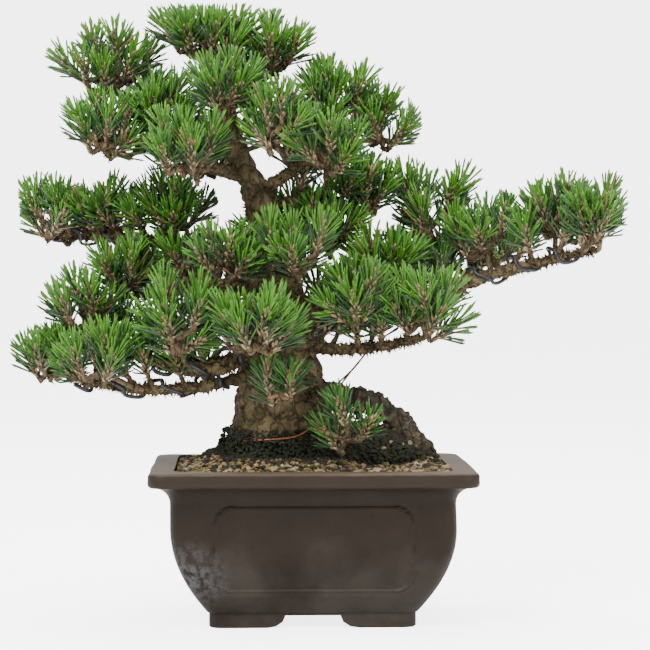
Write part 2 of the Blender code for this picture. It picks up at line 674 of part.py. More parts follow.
def tuft(mass, planes, limbs, base, aim, rng):
    """A slim core that needles stand out of, or nothing where the core finds no room."""
    tail = base - aim * CORE_HALF_LENGTH
    head = base + aim * CORE_HALF_LENGTH
    if not clears_limbs(limbs, tail, head, CORE_RADIUS, CORE_RADIUS):
        return None
    bm = bmesh.new()
    bmesh.ops.create_icosphere(bm, subdivisions=1, radius=1.0)
    spin = Matrix.Rotation(rng.uniform(0.0, math.tau), 4, "Z")
    turn = aim.to_track_quat("Z", "Y").to_matrix().to_4x4()
    shape = Matrix.Diagonal((CORE_RADIUS, CORE_RADIUS, CORE_HALF_LENGTH, 1.0))
    bmesh.ops.transform(bm, matrix=Matrix.Translation(base) @ turn @ spin @ shape, verts=bm.verts[:])
    bm.normal_update()
    for face in bm.faces[:]:
        middle = face.calc_center_median()
        out = (middle - base).normalized()
        if out.dot(aim) < LOWEST_NEEDLE:
            continue
        way = (out + aim * NEEDLE_LEAN).normalized()
        full_length = NEEDLE_LENGTH * rng.uniform(*NEEDLE_SPREAD)
        length = reach_in_space(mass, planes, middle, way, full_length)
        tip = middle + way * length
        if length < SHORTEST_NEEDLE or not clears_limbs(limbs, middle, tip, NEEDLE_FOOT, NEEDLE_TIP):
            continue
        poked = bmesh.ops.poke(bm, faces=[face])
        poked["verts"][0].co = tip
    return bm


def rod(start, end, thick_start, thick_end):
    """A straight tapering twig of three sides."""
    bm = bmesh.new()
    way = end - start
    place = Matrix.Translation((start + end) / 2) @ way.to_track_quat("Z", "Y").to_matrix().to_4x4()
    bmesh.ops.create_cone(bm, cap_ends=True, segments=3, radius1=thick_start,
                          radius2=thick_end, depth=way.length, matrix=place)
    return bm


def nearest_joint(joints, base, hub):
    """The joint that a new twig leaves: near its tuft, and not far out from the hub."""
    return min(joints, key=lambda joint: (joint - base).length + HUB_WEIGHT * (joint - hub).length)


def grow_mass(mass, limbs, seed):
    """Points of a mass's stem, the twigs that branch from it, and the tufts at their ends."""
    rng = random.Random(seed)
    centre = Vector(mass.centre)
    planes = dividing_planes(mass)
    hub = centre - UP * (mass.radii[2] * HUB_DROP)
    start = stem_start(mass, limbs, hub)
    bend = start.lerp(hub, 0.5)
    if mass.start >= 1.0:
        bend = start + limb_at(limbs[mass.limb], 1.0)[1] * STRAIGHT_START
    pieces = []
    others = {name: route for name, route in limbs.items() if name != mass.limb}
    joints = [hub]
    sites = tuft_sites(mass, planes, seed)
    for base, aim in sorted(sites, key=lambda site: (site[0] - hub).length):
        cell = planes + cell_planes(centre, base, sites)
        bm = tuft(mass, cell, limbs, base, aim, rng)
        if bm is None:
            continue
        parent = nearest_joint(joints, base, hub)
        if not clears_limbs(others, parent, base, TWIG_RADIUS, TWIG_RADIUS):
            bm.free()
            continue
        pieces.append(("tuft", bm))
        pieces.append(("twig", rod(parent, base, TWIG_RADIUS * TWIG_TAPER, TWIG_RADIUS)))
        joints.append(parent.lerp(base, NEXT_JOINT))
    return (start, bend, hub), pieces


def largest_piece(thing):
    """Keep the biggest connected piece of a mesh and drop loose scraps."""
    bm = bmesh.new()
    bm.from_mesh(thing.data)
    waiting = set(bm.verts)
    groups = []
    while waiting:
        queue = [waiting.pop()]
        group = list(queue)
        while queue:
            for edge in queue.pop().link_edges:
                for vert in edge.verts:
                    if vert in waiting:
                        waiting.remove(vert)
                        queue.append(vert)
                        group.append(vert)
        groups.append(group)
    groups.sort(key=len, reverse=True)
    for group in groups[1:]:
        bmesh.ops.delete(bm, geom=group, context="VERTS")
    bm.to_mesh(thing.data)
    bm.free()


def make_mass(mass, limbs, collection, material, seed):
    stem, pieces = grow_mass(mass, limbs, seed)
    route = [(point, STEM_RADIUS * (1.0 - STEM_TAPER * i)) for i, point in enumerate(stem)]
    thing = tube(mass.name, route, collection, material, resolution=0)
    helpers = make_collection(mass.name + "_pieces")
    for kind, bm in pieces:
        add_object(kind, bm, helpers)
    combine(thing, helpers, "UNION", solver="MANIFOLD")
    for helper in list(helpers.objects):
        bpy.data.objects.remove(helper)
    bpy.data.collections.remove(helpers)
    largest_piece(thing)
    thing.data.materials.clear()
    thing.data.materials.append(material)


def main():
    clear_scene()
    collection = make_collection("black_pine_bonsai")
    cutters = make_collection("cutters")
    bark = make_material("bark", BARK_GREY, 0.9)
    limbs = all_limbs()
    make_pot(collection, cutters, make_material("brown_clay", POT_BROWN, 0.55))
    trunk_space = make_trunk(collection, cutters, bark)
    make_boughs(limbs, trunk_space, collection, cutters, bark)
    make_soil(limbs, trunk_space, collection, cutters, make_material("soil", SOIL_BROWN, 0.95))
    needles = make_material("needles", NEEDLE_GREEN, 0.5)
    for number, mass in enumerate(MASSES):
        make_mass(mass, limbs, collection, needles, seed=100 + number)


main()
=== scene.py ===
"""Looks of the black pine bonsai: bark, twigs, sprays of needles, soil, clay and training wire.

Lengths are in millimetres in the tables and functions, and meshes are made in metres. Sizes inside
materials, and those of the floor and lamps, are in metres. Two numbers in brackets are a range to
draw from, unless a comment says what they are.
"""

import json
import math
import random
from collections import namedtuple

import bmesh
import bpy
import numpy as np
from mathutils import Matrix, Vector, noise

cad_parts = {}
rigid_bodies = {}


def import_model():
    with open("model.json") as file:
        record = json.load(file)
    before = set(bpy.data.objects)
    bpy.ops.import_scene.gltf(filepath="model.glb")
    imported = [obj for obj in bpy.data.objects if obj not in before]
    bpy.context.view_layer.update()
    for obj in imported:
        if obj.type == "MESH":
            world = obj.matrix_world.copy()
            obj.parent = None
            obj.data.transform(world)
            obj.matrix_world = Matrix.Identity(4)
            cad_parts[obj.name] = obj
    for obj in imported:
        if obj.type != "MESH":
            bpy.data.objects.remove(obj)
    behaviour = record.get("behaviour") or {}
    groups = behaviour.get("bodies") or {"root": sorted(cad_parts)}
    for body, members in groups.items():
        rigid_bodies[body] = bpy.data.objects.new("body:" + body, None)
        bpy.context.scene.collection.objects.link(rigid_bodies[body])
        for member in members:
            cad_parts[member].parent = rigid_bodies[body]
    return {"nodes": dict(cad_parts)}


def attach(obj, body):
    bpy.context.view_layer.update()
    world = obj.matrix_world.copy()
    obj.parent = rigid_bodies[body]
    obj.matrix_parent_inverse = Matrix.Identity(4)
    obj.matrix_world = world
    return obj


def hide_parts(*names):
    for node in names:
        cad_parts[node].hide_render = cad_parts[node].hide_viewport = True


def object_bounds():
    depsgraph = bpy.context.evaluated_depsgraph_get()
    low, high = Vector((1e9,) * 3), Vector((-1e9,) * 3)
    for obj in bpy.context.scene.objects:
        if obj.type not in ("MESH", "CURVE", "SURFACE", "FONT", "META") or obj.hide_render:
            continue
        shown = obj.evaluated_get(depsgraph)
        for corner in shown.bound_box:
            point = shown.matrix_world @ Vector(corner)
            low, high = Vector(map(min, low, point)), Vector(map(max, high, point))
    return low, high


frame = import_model()
CAD_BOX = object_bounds()

MM = 0.001
GAP = 0.3
UP = Vector((0.0, 0.0, 1.0))
BODY = "root"
GOLDEN_ANGLE = math.radians(137.5)

# Where each kind of random draw starts. Without its seed, noise_vector differs from run to run.
NOISE_SEED = 7
FLAKE_SEED = 31
NEEDLE_SEED = 11
MASS_SEED = 500
SITE_SEED = 100
SHOOT_SEED = 63
SHOOT_TWIG_SEED = 64
GRAIN_SEED = 77
MOSS_SEED = 5

# The camera stands right of the pot's left end, level with the middle of the crown.
CAMERA_PLACE = (-39.6, -1374.4, 207.9)
CAMERA_DOWN = 1.354
CAMERA_RIGHT = 2.0
CAMERA_LENS = 127.5
SENSOR_WIDTH = 36.0
# How far the camera sees, in metres.
VIEW_DEPTH = 20.0

# Stage: the camera sees backdrop and floor brighter than the light they give.
BACKDROP_GLOW = 5.0
FLOOR_GLOW = 3.9
SOFT_LIGHT = 1.15
FLOOR_HALF = 6.0
# Lamps: name, place, power in watts and size.
LAMPS = (
    ("key", (-0.9, -1.3, 1.6), 62.0, 0.9),
    ("fill", (1.2, -1.1, 0.9), 22.0, 1.2),
    ("top", (0.0, 0.3, 1.9), 50.0, 1.2),
)
LAMP_AIM = Vector((0.0, 0.0, 0.2))

# Pot
RIM_LENGTH = 190.0
RIM_DEPTH = 150.0
POT_HEIGHT = 92.8
RIM_FACE = 8.7
RIM_TOP_WIDTH = 14.5
BODY_INSET = 12.5
BODY_TOP = 74.0
BODY_WIDEST = 60.0
FOOT_HEIGHT = 9.0
FOOT_INSET = 34.5
FOOT_STEP = 1.0
FOOT_CHAMFER = 0.8
WALL = 5.0
FLOOR_TOP = 16.0
INNER_STEPS = 4
RIM_CORNER = 10.0
FOOT_CORNER = 7.0
CORNER_STEPS = 12
UNDERSIDE_RECESS = 8.0
FOOT_BAND = 11.0
CUTOUT_HEIGHT = 7.4
CUTOUT_ARC_STEPS = 3
# Cut-outs between the feet: widths at the ground and at the flat top.
FRONT_CUTOUT = (54.0, 32.0)
SIDE_CUTOUT = (34.0, 18.0)
DRAIN_RADIUS = 7.0
DRAIN_SPACING = 62.0
DRAIN_SIDES = 32
DRAIN_REACH = 1.6
OVERSHOOT = 1.0
OPEN_TOP = 5.0
PANEL_DEPTH = 2.3
PANEL_BOTTOM = 23.0
PANEL_TOP = 72.0
FRONT_PANEL_WIDTH = 115.0
SIDE_PANEL_WIDTH = 76.0
PANEL_CORNER = 12.0
PANEL_SOFTNESS = 0.9
PANEL_LIP = 1.2
PANEL_LIP_PLACE = 1.5
RIM_ROUND = 2.4
RIM_ARC_STEPS = 5
ON_WALL = 0.01
CLAY_WAVE = 0.9
CLAY_WAVE_SCALE = 0.028
RIM_WAVE_SHARE = 0.5
SIDE_STEPS = 90
LONG_SIDE = 25.0
BOWL_STEPS = 48
WALL_STEPS = 18
COVE_STEPS = 10
SHARP_ANGLE = 35.0

# Soil
SOIL_EDGE = 91.8
GROUND = 97.0
MOUND_CENTRE = Vector((-20.0, 5.0))
MOUND_FLAT = 40.0
MOUND_FOOT = 58.0
# Heaps of moss and soil: centre and half sizes.
HEAPS = (
    (Vector((22.0, 6.0, 97.0)), Vector((40.0, 22.0, 19.5))),
    (Vector((68.0, 12.0, 89.0)), Vector((11.5, 17.0, 7.1))),
    (Vector((-56.0, 4.0, 95.0)), Vector((9.0, 14.0, 6.0))),
)
HEAP_WEIGHTS = (0.7, 0.12, 0.18)
HEAP_BITS = 3200
HEAP_BIT_SIZES = (0.8, 2.2)
BURIED = 0.5
FOOT_BITS = 2200
FOOT_BIT_SIZES = (0.6, 1.7)
FOOT_CREEP = 17.0
FOOT_RADIUS = 30.5
FOOT_NARROWS = 0.12
GRAIN_COUNT = 6500
GRAIN_KINDS = 8
GRAIN_STRETCHES = ((0.75, 1.2), (0.7, 1.1), (0.55, 0.85))
GRAIN_SWELL = (0.78, 1.15)
GRAIN_SIZES = (0.8, 2.1)
BIG_GRAIN = 1.7
BIG_GRAIN_CHANCE = 0.04
GRAIN_TILT = 0.6
GRAIN_LIFT = (-0.2, 0.5)
WALL_CLEAR = 2.2
SOIL_HALF_LENGTH = RIM_LENGTH / 2 - RIM_TOP_WIDTH - WALL_CLEAR
SOIL_HALF_DEPTH = RIM_DEPTH / 2 - RIM_TOP_WIDTH - WALL_CLEAR
# Grains are dark on the heaps and near the trunk, and sandy further out.
TRUNK_CLEAR = 31.0
DARK_FROM = 33.0
DARK_FADE = 16.0
HEAP_DARKNESS = 0.85

# Trunk stations from the ground to the tip: height, X, Y, radius.
TRUNK = (
    (97.0, -20.5, 5.0, 30.5),
    (104.0, -20.0, 5.0, 29.0),
    (115.0, -18.5, 5.0, 27.5),
    (131.0, -17.8, 5.0, 26.8),
    (147.0, -18.5, 6.0, 25.0),
    (165.0, -20.0, 8.0, 22.5),
    (184.0, -21.5, 10.0, 19.5),
    (208.0, -23.0, 10.0, 16.0),
    (229.0, -24.5, 9.0, 13.0),
    (247.0, -29.0, 7.0, 10.8),
    (261.0, -35.0, 4.0, 9.4),
    (274.0, -42.0, 2.0, 8.0),
    (288.0, -46.5, 2.0, 6.6),
    (305.0, -49.0, 2.0, 4.8),
    (331.0, -51.0, 2.0, 2.4),
)
TRUNK_FOOT = Vector((TRUNK[0][1], TRUNK[0][2]))
# Root flare: directions of the ridges in degrees, their spread, and how far they stand out at the ground.
FLARE_TURNS = (2.0, 62.0, 118.0, 182.0, 236.0, 304.0)
FLARE_SPREAD = 24.0
FLARE_SWELL = 0.24
FLARE_FADE = 17.0

Bough = namedtuple("Bough", "name parent start tip arch sweep radii")
# A bough leaves its parent at the share `start` of the parent's length and ends at `tip`. At its
# middle it stands `arch` above and `sweep` to the left of the straight line. Its two `radii` are
# those of its start and its tip.
BOUGHS = (
    Bough("surface_root", "trunk", 0.13, (73, 12, 92), 16.0, 0.0, (6.0, 7.0)),
    Bough("lower_left_bough", "trunk", 0.235, (-145, -14, 146), -11.0, 24.0, (4.6, 1.8)),
    Bough("elbow_bough", "trunk", 0.315, (-124, -20, 170), -20.0, 27.0, (7.0, 2.6)),
    Bough("left_bough", "trunk", 0.400, (-104, 5, 193), 8.0, 4.0, (5.2, 2.2)),
    Bough("mid_left_bough", "trunk", 0.478, (-158, 44, 229), 5.0, 9.0, (5.4, 1.7)),
    Bough("upper_left_bough", "trunk", 0.712, (-107, 12, 305), -8.0, 12.0, (5.0, 2.2)),
    Bough("right_upper_bough", "trunk", 0.672, (16, 0, 292), -5.0, -6.0, (4.8, 2.2)),
    Bough("upper_right_spur", "trunk", 0.608, (28, 4, 240), 10.0, -3.0, (3.6, 1.8)),
    Bough("right_bough", "trunk", 0.396, (90, -10, 200), -14.0, -6.0, (8.6, 6.2)),
    Bough("right_outer_bough", "right_bough", 1.0, (163, -48, 220), 1.0, 3.0, (4.4, 1.9)),
    Bough("lower_right_bough", "trunk", 0.308, (62, -42, 169), -8.0, -8.0, (4.8, 2.2)),
    Bough("low_right_bough", "trunk", 0.245, (4, -46, 118), 2.0, 9.0, (5.6, 4.2)),
    Bough("back_low_bough", "trunk", 0.240, (4, 54, 168), -4.0, 4.0, (5.2, 2.4)),
    Bough("back_right_bough", "trunk", 0.350, (52, 46, 196), -5.0, 5.0, (5.0, 2.2)),
    Bough("back_left_bough", "trunk", 0.360, (-72, 52, 192), -5.0, -5.0, (5.0, 2.2)),
)
BOUGH_STEPS = 40
# A bough that grows on from another's tip first runs straight on.
STRAIGHT_START = 3.0
# The surface root stays up longer and is thicker half way than an even bough.
ROOT_SHOULDER = 6.5
ROOT_SHOULDER_LATE = 1.8
ROOT_THICKER = 1.6

Mass = namedtuple("Mass", "name limb start centre radii tufts")
# A mass of needles fills the ellipsoid at `centre` with half sizes `radii`, and its stem meets
# the limb at the share `start` of the limb's length.
MASSES = (
    Mass("apex_top", "trunk", 1.00, (-63, 0, 345), (28, 25, 22), 5),
    Mass("apex_right", "trunk", 0.93, (-22, 5, 338), (20, 21, 22), 3),
    Mass("apex_front", "trunk", 0.86, (-51, -38, 311), (23, 18, 18), 3),
    Mass("apex_back", "trunk", 0.87, (-50, 38, 318), (26, 20, 20), 3),
    Mass("upper_left_top", "upper_left_bough", 1.00, (-119, 14, 328), (28, 23, 24), 5),
    Mass("upper_left_low", "upper_left_bough", 0.80, (-122, -14, 289), (24, 22, 19), 4),
    Mass("upper_centre_left", "upper_left_bough", 0.42, (-86, -10, 302), (18, 19, 19), 3),
    Mass("upper_centre_low", "trunk", 0.715, (-72, -46, 277), (24, 22, 20), 4),
    Mass("upper_centre_right", "trunk", 0.775, (-24, -42, 292), (19, 20, 20), 3),
    Mass("upper_right_top", "right_upper_bough", 1.00, (14, 2, 311), (25, 23, 19), 4),
    Mass("upper_right_tip", "right_upper_bough", 0.80, (42, 12, 296), (17, 20, 21), 3),
    Mass("upper_right_front", "right_upper_bough", 0.55, (8, -36, 277), (24, 20, 19), 3),
    Mass("upper_right_low", "upper_right_spur", 1.00, (34, 5, 254), (17, 18, 17), 3),
    Mass("mid_left_tip", "mid_left_bough", 1.00, (-159, 46, 242), (20.5, 21, 19), 3),
    Mass("mid_left", "mid_left_bough", 0.72, (-124, 30, 241), (21, 22, 20), 3),
    Mass("mid_left_inner", "mid_left_bough", 0.42, (-86, 20, 243), (21, 22, 20), 3),
    Mass("centre_left", "trunk", 0.49, (-48, -42, 216), (20, 18, 16), 3),
    Mass("centre", "trunk", 0.47, (-10, -50, 217), (23, 22, 22), 4),
    Mass("centre_low", "trunk", 0.30, (-34, -72, 175), (31, 26, 20), 5),
    Mass("centre_right", "trunk", 0.575, (11, -8, 233), (19, 18, 17), 3),
    Mass("left_top", "left_bough", 1.00, (-111, 6, 205), (23, 23, 19), 4),
    Mass("left_outer", "elbow_bough", 1.00, (-132, -17, 185), (20, 21, 20), 3),
    Mass("left_tip", "lower_left_bough", 1.00, (-153, -10, 157), (18, 18, 15), 3),
    Mass("left_low", "lower_left_bough", 0.68, (-121, -46, 157), (21, 20, 18), 3),
    Mass("left_middle", "elbow_bough", 0.56, (-78, -58, 177), (21, 22, 26), 4),
    Mass("right_centre_top", "right_bough", 0.52, (42, -14, 213), (23, 21, 17), 3),
    Mass("right_centre", "lower_right_bough", 0.62, (24, -52, 192), (20, 21, 18), 3),
    Mass("right_low", "lower_right_bough", 1.00, (63, -46, 187), (23, 21, 20), 4),
    Mass("right_inner", "right_bough", 0.86, (72, 18, 246), (27, 24, 26), 4),
    Mass("right_middle", "right_outer_bough", 0.22, (104, -8, 229), (21, 21, 19), 3),
    Mass("right_outer", "right_outer_bough", 0.70, (143, -24, 240), (20, 21, 21), 3),
    Mass("right_tip", "right_outer_bough", 1.00, (164, -55, 239), (17, 19, 19), 3),
    Mass("low_front", "trunk", 0.17, (-19, -52, 143), (18, 18, 12), 3),
    Mass("low_right", "low_right_bough", 1.00, (18, -49, 119), (17, 18, 19), 3),
    Mass("back_low", "back_low_bough", 1.00, (6, 74, 182), (32, 26, 21), 4),
    Mass("back_right", "back_right_bough", 1.00, (62, 60, 210), (28, 26, 21), 4),
    Mass("back_left", "back_left_bough", 1.00, (-80, 70, 205), (31, 27, 21), 4),
    Mass("back_middle", "trunk", 0.565, (-12, 52, 240), (28, 26, 21), 4),
    Mass("back_upper", "trunk", 0.69, (-64, 48, 279), (27, 24, 19), 3),
    Mass("back_upper_right", "right_upper_bough", 0.34, (-4, 44, 286), (25, 22, 20), 3),
    Mass("right_back", "right_bough", 0.92, (106, 36, 222), (24, 22, 19), 3),
)
MASS_NODES = [mass.name + "_needles" for mass in MASSES]

# Bark: sizes of its plates, how high they stand and how they wander.
TRUNK_STEPS = 10
BARK_SIDES = 96
BOUGH_SIDES = 22
BOUGH_REFINE = 3
TRUNK_PLATE = 6.5
TRUNK_RELIEF = 2.8
FULL_RELIEF_RADIUS = 12.0
BOUGH_PLATE = 4.2
BOUGH_RELIEF = 0.45
BOUGH_RELIEF_SHARE = 0.20
BOUGH_LUMP = 0.28
BOUGH_LUMP_SCALE = 0.11
PLATE_LENGTH = 1.7
PLATE_WANDER = 0.35
PLATE_WANDER_SCALE = 1.7
CRACK_SLOPE = 2.6
CRACK_LEVEL = 0.85
FINE_GRAIN_SIZE = 0.45
FINE_GRAIN_SHARE = 0.35
# Loose flakes on the boughs.
FLAKE_SPAN = (0.02, 0.97)
FLAKE_TILT = 0.4
FLAKE_SIZES = (0.6, 1.3)
FLAKE_LIFT = (0.93, 1.06)
FLAKE_SHAPE = np.array((0.8, 1.2, 0.42))
FLAKE_DENSITY = 0.42
FLAKE_SHARE = 0.32
FLAKE_LARGEST = 2.0
LIGHT_FLAKES = 0.55
DARK_FLAKES = 0.45

# Growth: each mass carries more and finer tufts than its solid, within the same reach.
TUFT_FACTOR = 2.6
# Two low sprigs are thinner and greyer than the rest.
SPARSE_MASSES = ("low_front", "low_right")
SPARSE_FACTOR = 1.4
SPARSE_FRESHNESS = 0.3
HUB_DROP = 0.45
STEM_RADIUS = 2.125
STEM_LEAST = 1.4
STEM_TAPER = 0.03
STEM_SIDES = 8
STEM_ROUGH = 0.16
STEM_STEPS = 5
STEM_SINK = 2.0
FORK_SHARE = 0.6
FORK_NEARNESS = 0.5
TUFT_LOWEST = -0.55
TUFT_SPREAD = 1.5
TUFT_DEPTHS = (0.30, 0.85)
TUFT_SCATTER = 4.0
TUFT_SCATTER_UP = (-9.0, 1.0)
TUFT_TILT = 0.35
TUFT_RISE = (0.75, 1.3)
TUFT_OUTWARD = 0.7
SHOOT_ROOM = (12.0, 12.0, 14.0)
# Twigs and the rough brown end, or candle, that carries the needles.
TWIG_RADIUS = 1.7
TWIG_SWELL = 1.2
TWIG_TAPER = 0.06
TWIG_SIDES = 6
TWIG_ROUGH = 0.22
TWIG_STEPS = 5
TWIG_BEND = 0.12
TWIG_JITTER = 0.35
CANDLE_LENGTH = 17.0
CANDLE_FOOT = CANDLE_LENGTH * 0.58
# Candle and bud: share of the candle's length from its middle, and radius.
CANDLE = ((-0.62, 1.2), (-0.4, 1.7), (-0.2, 1.35), (0.0, 1.6), (0.2, 1.25), (0.4, 1.3), (0.52, 0.6))
CANDLE_ROUGH = 0.3
BUD = ((0.48, 1.0), (0.58, 0.9), (0.68, 0.25))
BUD_SIZES = (0.8, 1.3)
BUD_ROUGH = 0.15
# Old scales on the twigs, and old sheaths on the boughs.
SCALES_A_TWIG = 34
SCALE_RADIUS = 0.85
SCALE_LENGTHS = (2.2, 4.6)
SCALE_FORWARD = 0.5
FUZZ_A_MM = 5.0
FUZZ_START = 0.3
FUZZ_SPAN = 0.69
FUZZ_OUTWARD = 0.7
FUZZ_LENGTHS = (1.6, 4.2)
FUZZ_SINK = 0.9
# Needles stand in pairs in a sheath, wide open at the candle's foot and closing toward its tip.
PAIRS_A_TUFT = 23
NEEDLE_LENGTH = 15.5
NEEDLE_RADIUS = 0.64
NEEDLE_LENGTHS = (0.78, 1.05)
NEEDLE_SHORTEST = 5.0
NEEDLE_SHOULDER = 0.84
NEEDLE_FOOT = 0.85
NEEDLE_BEND = (0.0, 0.06)
NEEDLE_SWAY = 0.02
SHOULDER_BEND = 0.6
OPEN_ANGLE = 47.0
OPEN_ANGLE_DROP = 34.0
OPEN_ANGLE_CURVE = 1.3
OPEN_ANGLE_SPREAD = 6.0
LOWEST_PAIR = 0.42
TWIN_SPREAD = 0.075
TUFT_SIZES = (0.8, 1.12)
TURN_JITTER = (0.0, 0.5)
# How fresh a tuft is: a level, more where it points up, a spread, and the least and the most.
FRESH_LEVEL = 0.62
FRESH_UPWARD = 0.35
FRESH_SPREAD = (-0.3, 0.2)
FRESH_LEAST = 0.1
FRESH_MOST = 0.95
# A needle's tint by its place up the shoot, and its chances at the foot and in the middle.
DRY_CHANCE = 0.012
FOOT_SHARE = 0.16
FOOT_GREY_CHANCE = 0.55
MIDDLE_SHARE = 0.42
MIDDLE_DEEP_CHANCE = 0.5
SHEATH_LENGTH = 6.9
SHEATH_RADIUS = 1.15
SHEATH_COVER = 2.53
REACH_SHARE = 1.55
# Single shoots on the outer part of the boughs.
SHOOT_SPACING = 17.0
SHOOT_REACH = 40.0
SHOOT_START = 0.30
SHOOT_SPAN = 0.66
SHOOT_FRESHNESS = 0.8
SHOOT_JITTER = (0.1, 0.9)
SHOOT_ASIDE = (0.2, 1.0)
SHOOT_RISE = (0.6, 1.1)
SHOOT_FORWARD = (0.0, 0.5)
SHOOT_CLEAR = (1.0, 5.0)
NOT_BARE = ("surface_root", "low_right_bough")
PIECE_LIMIT = 190000

# Wires wound round boughs: name, bough, first and last share of its length, turns, slack, radius.
COILS = (
    ("training_wire_left", "lower_left_bough", 0.30, 0.93, 3, 1.3, 1.2),
    ("training_wire_elbow", "elbow_bough", 0.30, 0.70, 2, 1.3, 1.3),
    ("training_wire_mid_left", "mid_left_bough", 0.55, 0.97, 3, 1.2, 0.9),
    ("training_wire_right", "right_outer_bough", 0.06, 0.92, 3, 1.6, 1.1),
)
COIL_STEPS = 10
# How a coil slips along its bough and how its slack swells, step by step.
COIL_SLIP = 0.016
COIL_SLIP_PACE = 1.7
COIL_SLACK = 1.6
COIL_SWELL = 1.1
COIL_SWELL_PACE = 0.53
COIL_SWELL_START = 40.0
WIRE_STEPS = 6
WIRE_SIDES = 10
# Routes of the wires at the trunk's foot and of the guy wire up to the lower right bough.
FOOT_ROUTE = ((-50.0, 6.0, 112.0), (-47.5, -8.0, 112.5), (-36.0, -21.5, 109.5), (-18.0, -25.5, 107.0),
              (0.0, -19.5, 106.5), (9.5, -6.0, 107.0))
COPPER_ROUTE = ((-48.5, 0.0, 104.5), (-44.0, -16.0, 107.0), (-30.0, -25.5, 108.5), (-10.0, -25.5, 110.5),
                (0.0, -24.0, 117.0), (4.0, -20.0, 124.0))
GUY_ROUTE = ((33.0, -30.0, 161.5), (24.0, -22.0, 150.0), (16.0, -10.0, 139.0), (9.0, -2.0, 135.0))
GUY_TWIST = 1.6
GUY_PACE = 2.2
GUY_RISE = 1.2
FOOT_WIRE_RADIUS = 0.8
COPPER_RADIUS = 0.6
GUY_RADIUS = 0.55

# Colours
NEEDLE_TINTS = {
    "needles_fresh": (0.053, 0.168, 0.006),
    "needles_green": (0.025, 0.094, 0.006),
    "needles_deep": (0.011, 0.045, 0.007),
    "needles_grey": (0.036, 0.064, 0.022),
    "needles_dry": (0.17, 0.092, 0.038),
}
# Grains: colour and share.
GRAIN_TINTS = {
    "grains_tan": ((0.24, 0.165, 0.085), 0.20),
    "grains_ochre": ((0.17, 0.095, 0.032), 0.12),
    "grains_olive": ((0.085, 0.075, 0.022), 0.18),
    "grains_grey": ((0.20, 0.175, 0.125), 0.10),
    "grains_dark": ((0.022, 0.016, 0.010), 0.44),
}
# Barks: light plates, dark plates, and the height up to which moss stains them.
BARKS = {
    "bark": ((0.24, 0.172, 0.086), (0.05, 0.034, 0.018), 0.112),
    "root_bark": ((0.15, 0.115, 0.08), (0.03, 0.023, 0.016), 0.100),
    "light_bark": ((0.26, 0.17, 0.085), (0.10, 0.062, 0.032), 0.10),
    "dark_bark": ((0.11, 0.07, 0.038), (0.03, 0.02, 0.012), 0.10),
    "twig_bark": ((0.24, 0.16, 0.085), (0.06, 0.036, 0.02), -1.0),
}
LICHEN = (0.075, 0.078, 0.036)
LICHEN_SHARE = 0.45
MOSS_STAIN = (0.012, 0.014, 0.008)
# Cracks between bark plates: a darker colour, partly the dark bark in them and partly painted shade.
CRACK_PAINTED_SHADE = 0.35
CRACK_PAINTED_SHADE_SHARE = 0.8
CLAY = (0.03, 0.02, 0.012)
CLAY_DARK = (0.0105, 0.0068, 0.0042)
CLAY_LIGHT = (0.0175, 0.0115, 0.0072)
SALT_HAZE = (0.12, 0.108, 0.096)
SALT_HAZE_SHARE = 0.16
# Painted light: the rim's face is painted lighter, standing in for the key lamp's light on it.
RIM_FACE_PAINTED_LIGHT = (0.055, 0.042, 0.030)
RIM_FACE_PAINTED_LIGHT_SHARE = 0.15
# Painted sheen: the rim's top is painted lighter, standing in for its reflection of the bright surround.
RIM_TOP_PAINTED_SHEEN = (0.085, 0.062, 0.041)
SALT_CRUST = (0.10, 0.10, 0.105)
SALT_PLACE = (-0.072, -0.050, 0.032)
SALT_REACH = 0.026
SALT_STRENGTH = 0.75
SHEATH_COLOUR = (0.33, 0.245, 0.145)
BUD_COLOUR = (0.42, 0.24, 0.14)
HUMUS = (0.045, 0.036, 0.022)
DARK_MOSS = (0.014, 0.017, 0.008)
DARK_WIRE = (0.05, 0.05, 0.055)
AGED_COPPER = (0.35, 0.13, 0.07)
FLOOR_WHITE = (0.95, 0.95, 0.95)

# A finish wavers between a darker and a lighter shade: shares of its colour, and sizes of its pattern.
# Its bump is a strength and a distance.
Finish = namedtuple("Finish", "roughness gloss metal shades patch contrast grain bump")
NEEDLE_FINISH = Finish(0.42, 0.45, 0.0, (0.62, 1.35), 110.0, 2.4, 900.0, None)
GRAIN_FINISH = Finish(0.9, 0.3, 0.0, (0.55, 1.5), 260.0, 2.6, 2400.0, (0.6, 0.0003))
DARK_WIRE_FINISH = Finish(0.45, 0.5, 0.6, (0.5, 1.0), 220.0, 2.0, 900.0, None)
COPPER_FINISH = Finish(0.4, 0.5, 0.8, (0.5, 1.0), 220.0, 2.0, 900.0, None)


def smooth_rows(rows, steps):
    """A smooth line through rows of numbers, with `steps` pieces between two rows."""
    result = []
    last = len(rows) - 1
    for i in range(last):
        before, here = rows[max(i - 1, 0)], rows[i]
        after, beyond = rows[i + 1], rows[min(i + 2, last)]
        for step in range(steps):
            t = step / steps
            row = []
            for a, b, c, d in zip(before, here, after, beyond):
                curve = 2 * b + (c - a) * t + (2 * a - 5 * b + 4 * c - d) * t * t
                row.append(0.5 * (curve + (3 * b - a - 3 * c + d) * t ** 3))
            result.append(tuple(row))
    result.append(tuple(rows[last]))
    return result


def limb_length(line):
    return sum((b[0] - a[0]).length for a, b in zip(line, line[1:]))


# Shader groups and materials


def feed(tree, socket, value):
    """Give a socket a number, a colour or another node's output."""
    if isinstance(value, bpy.types.NodeSocket):
        tree.links.new(value, socket)
    elif socket.type == "RGBA":
        socket.default_value = (*value[:3], 1.0)
    else:
        socket.default_value = value


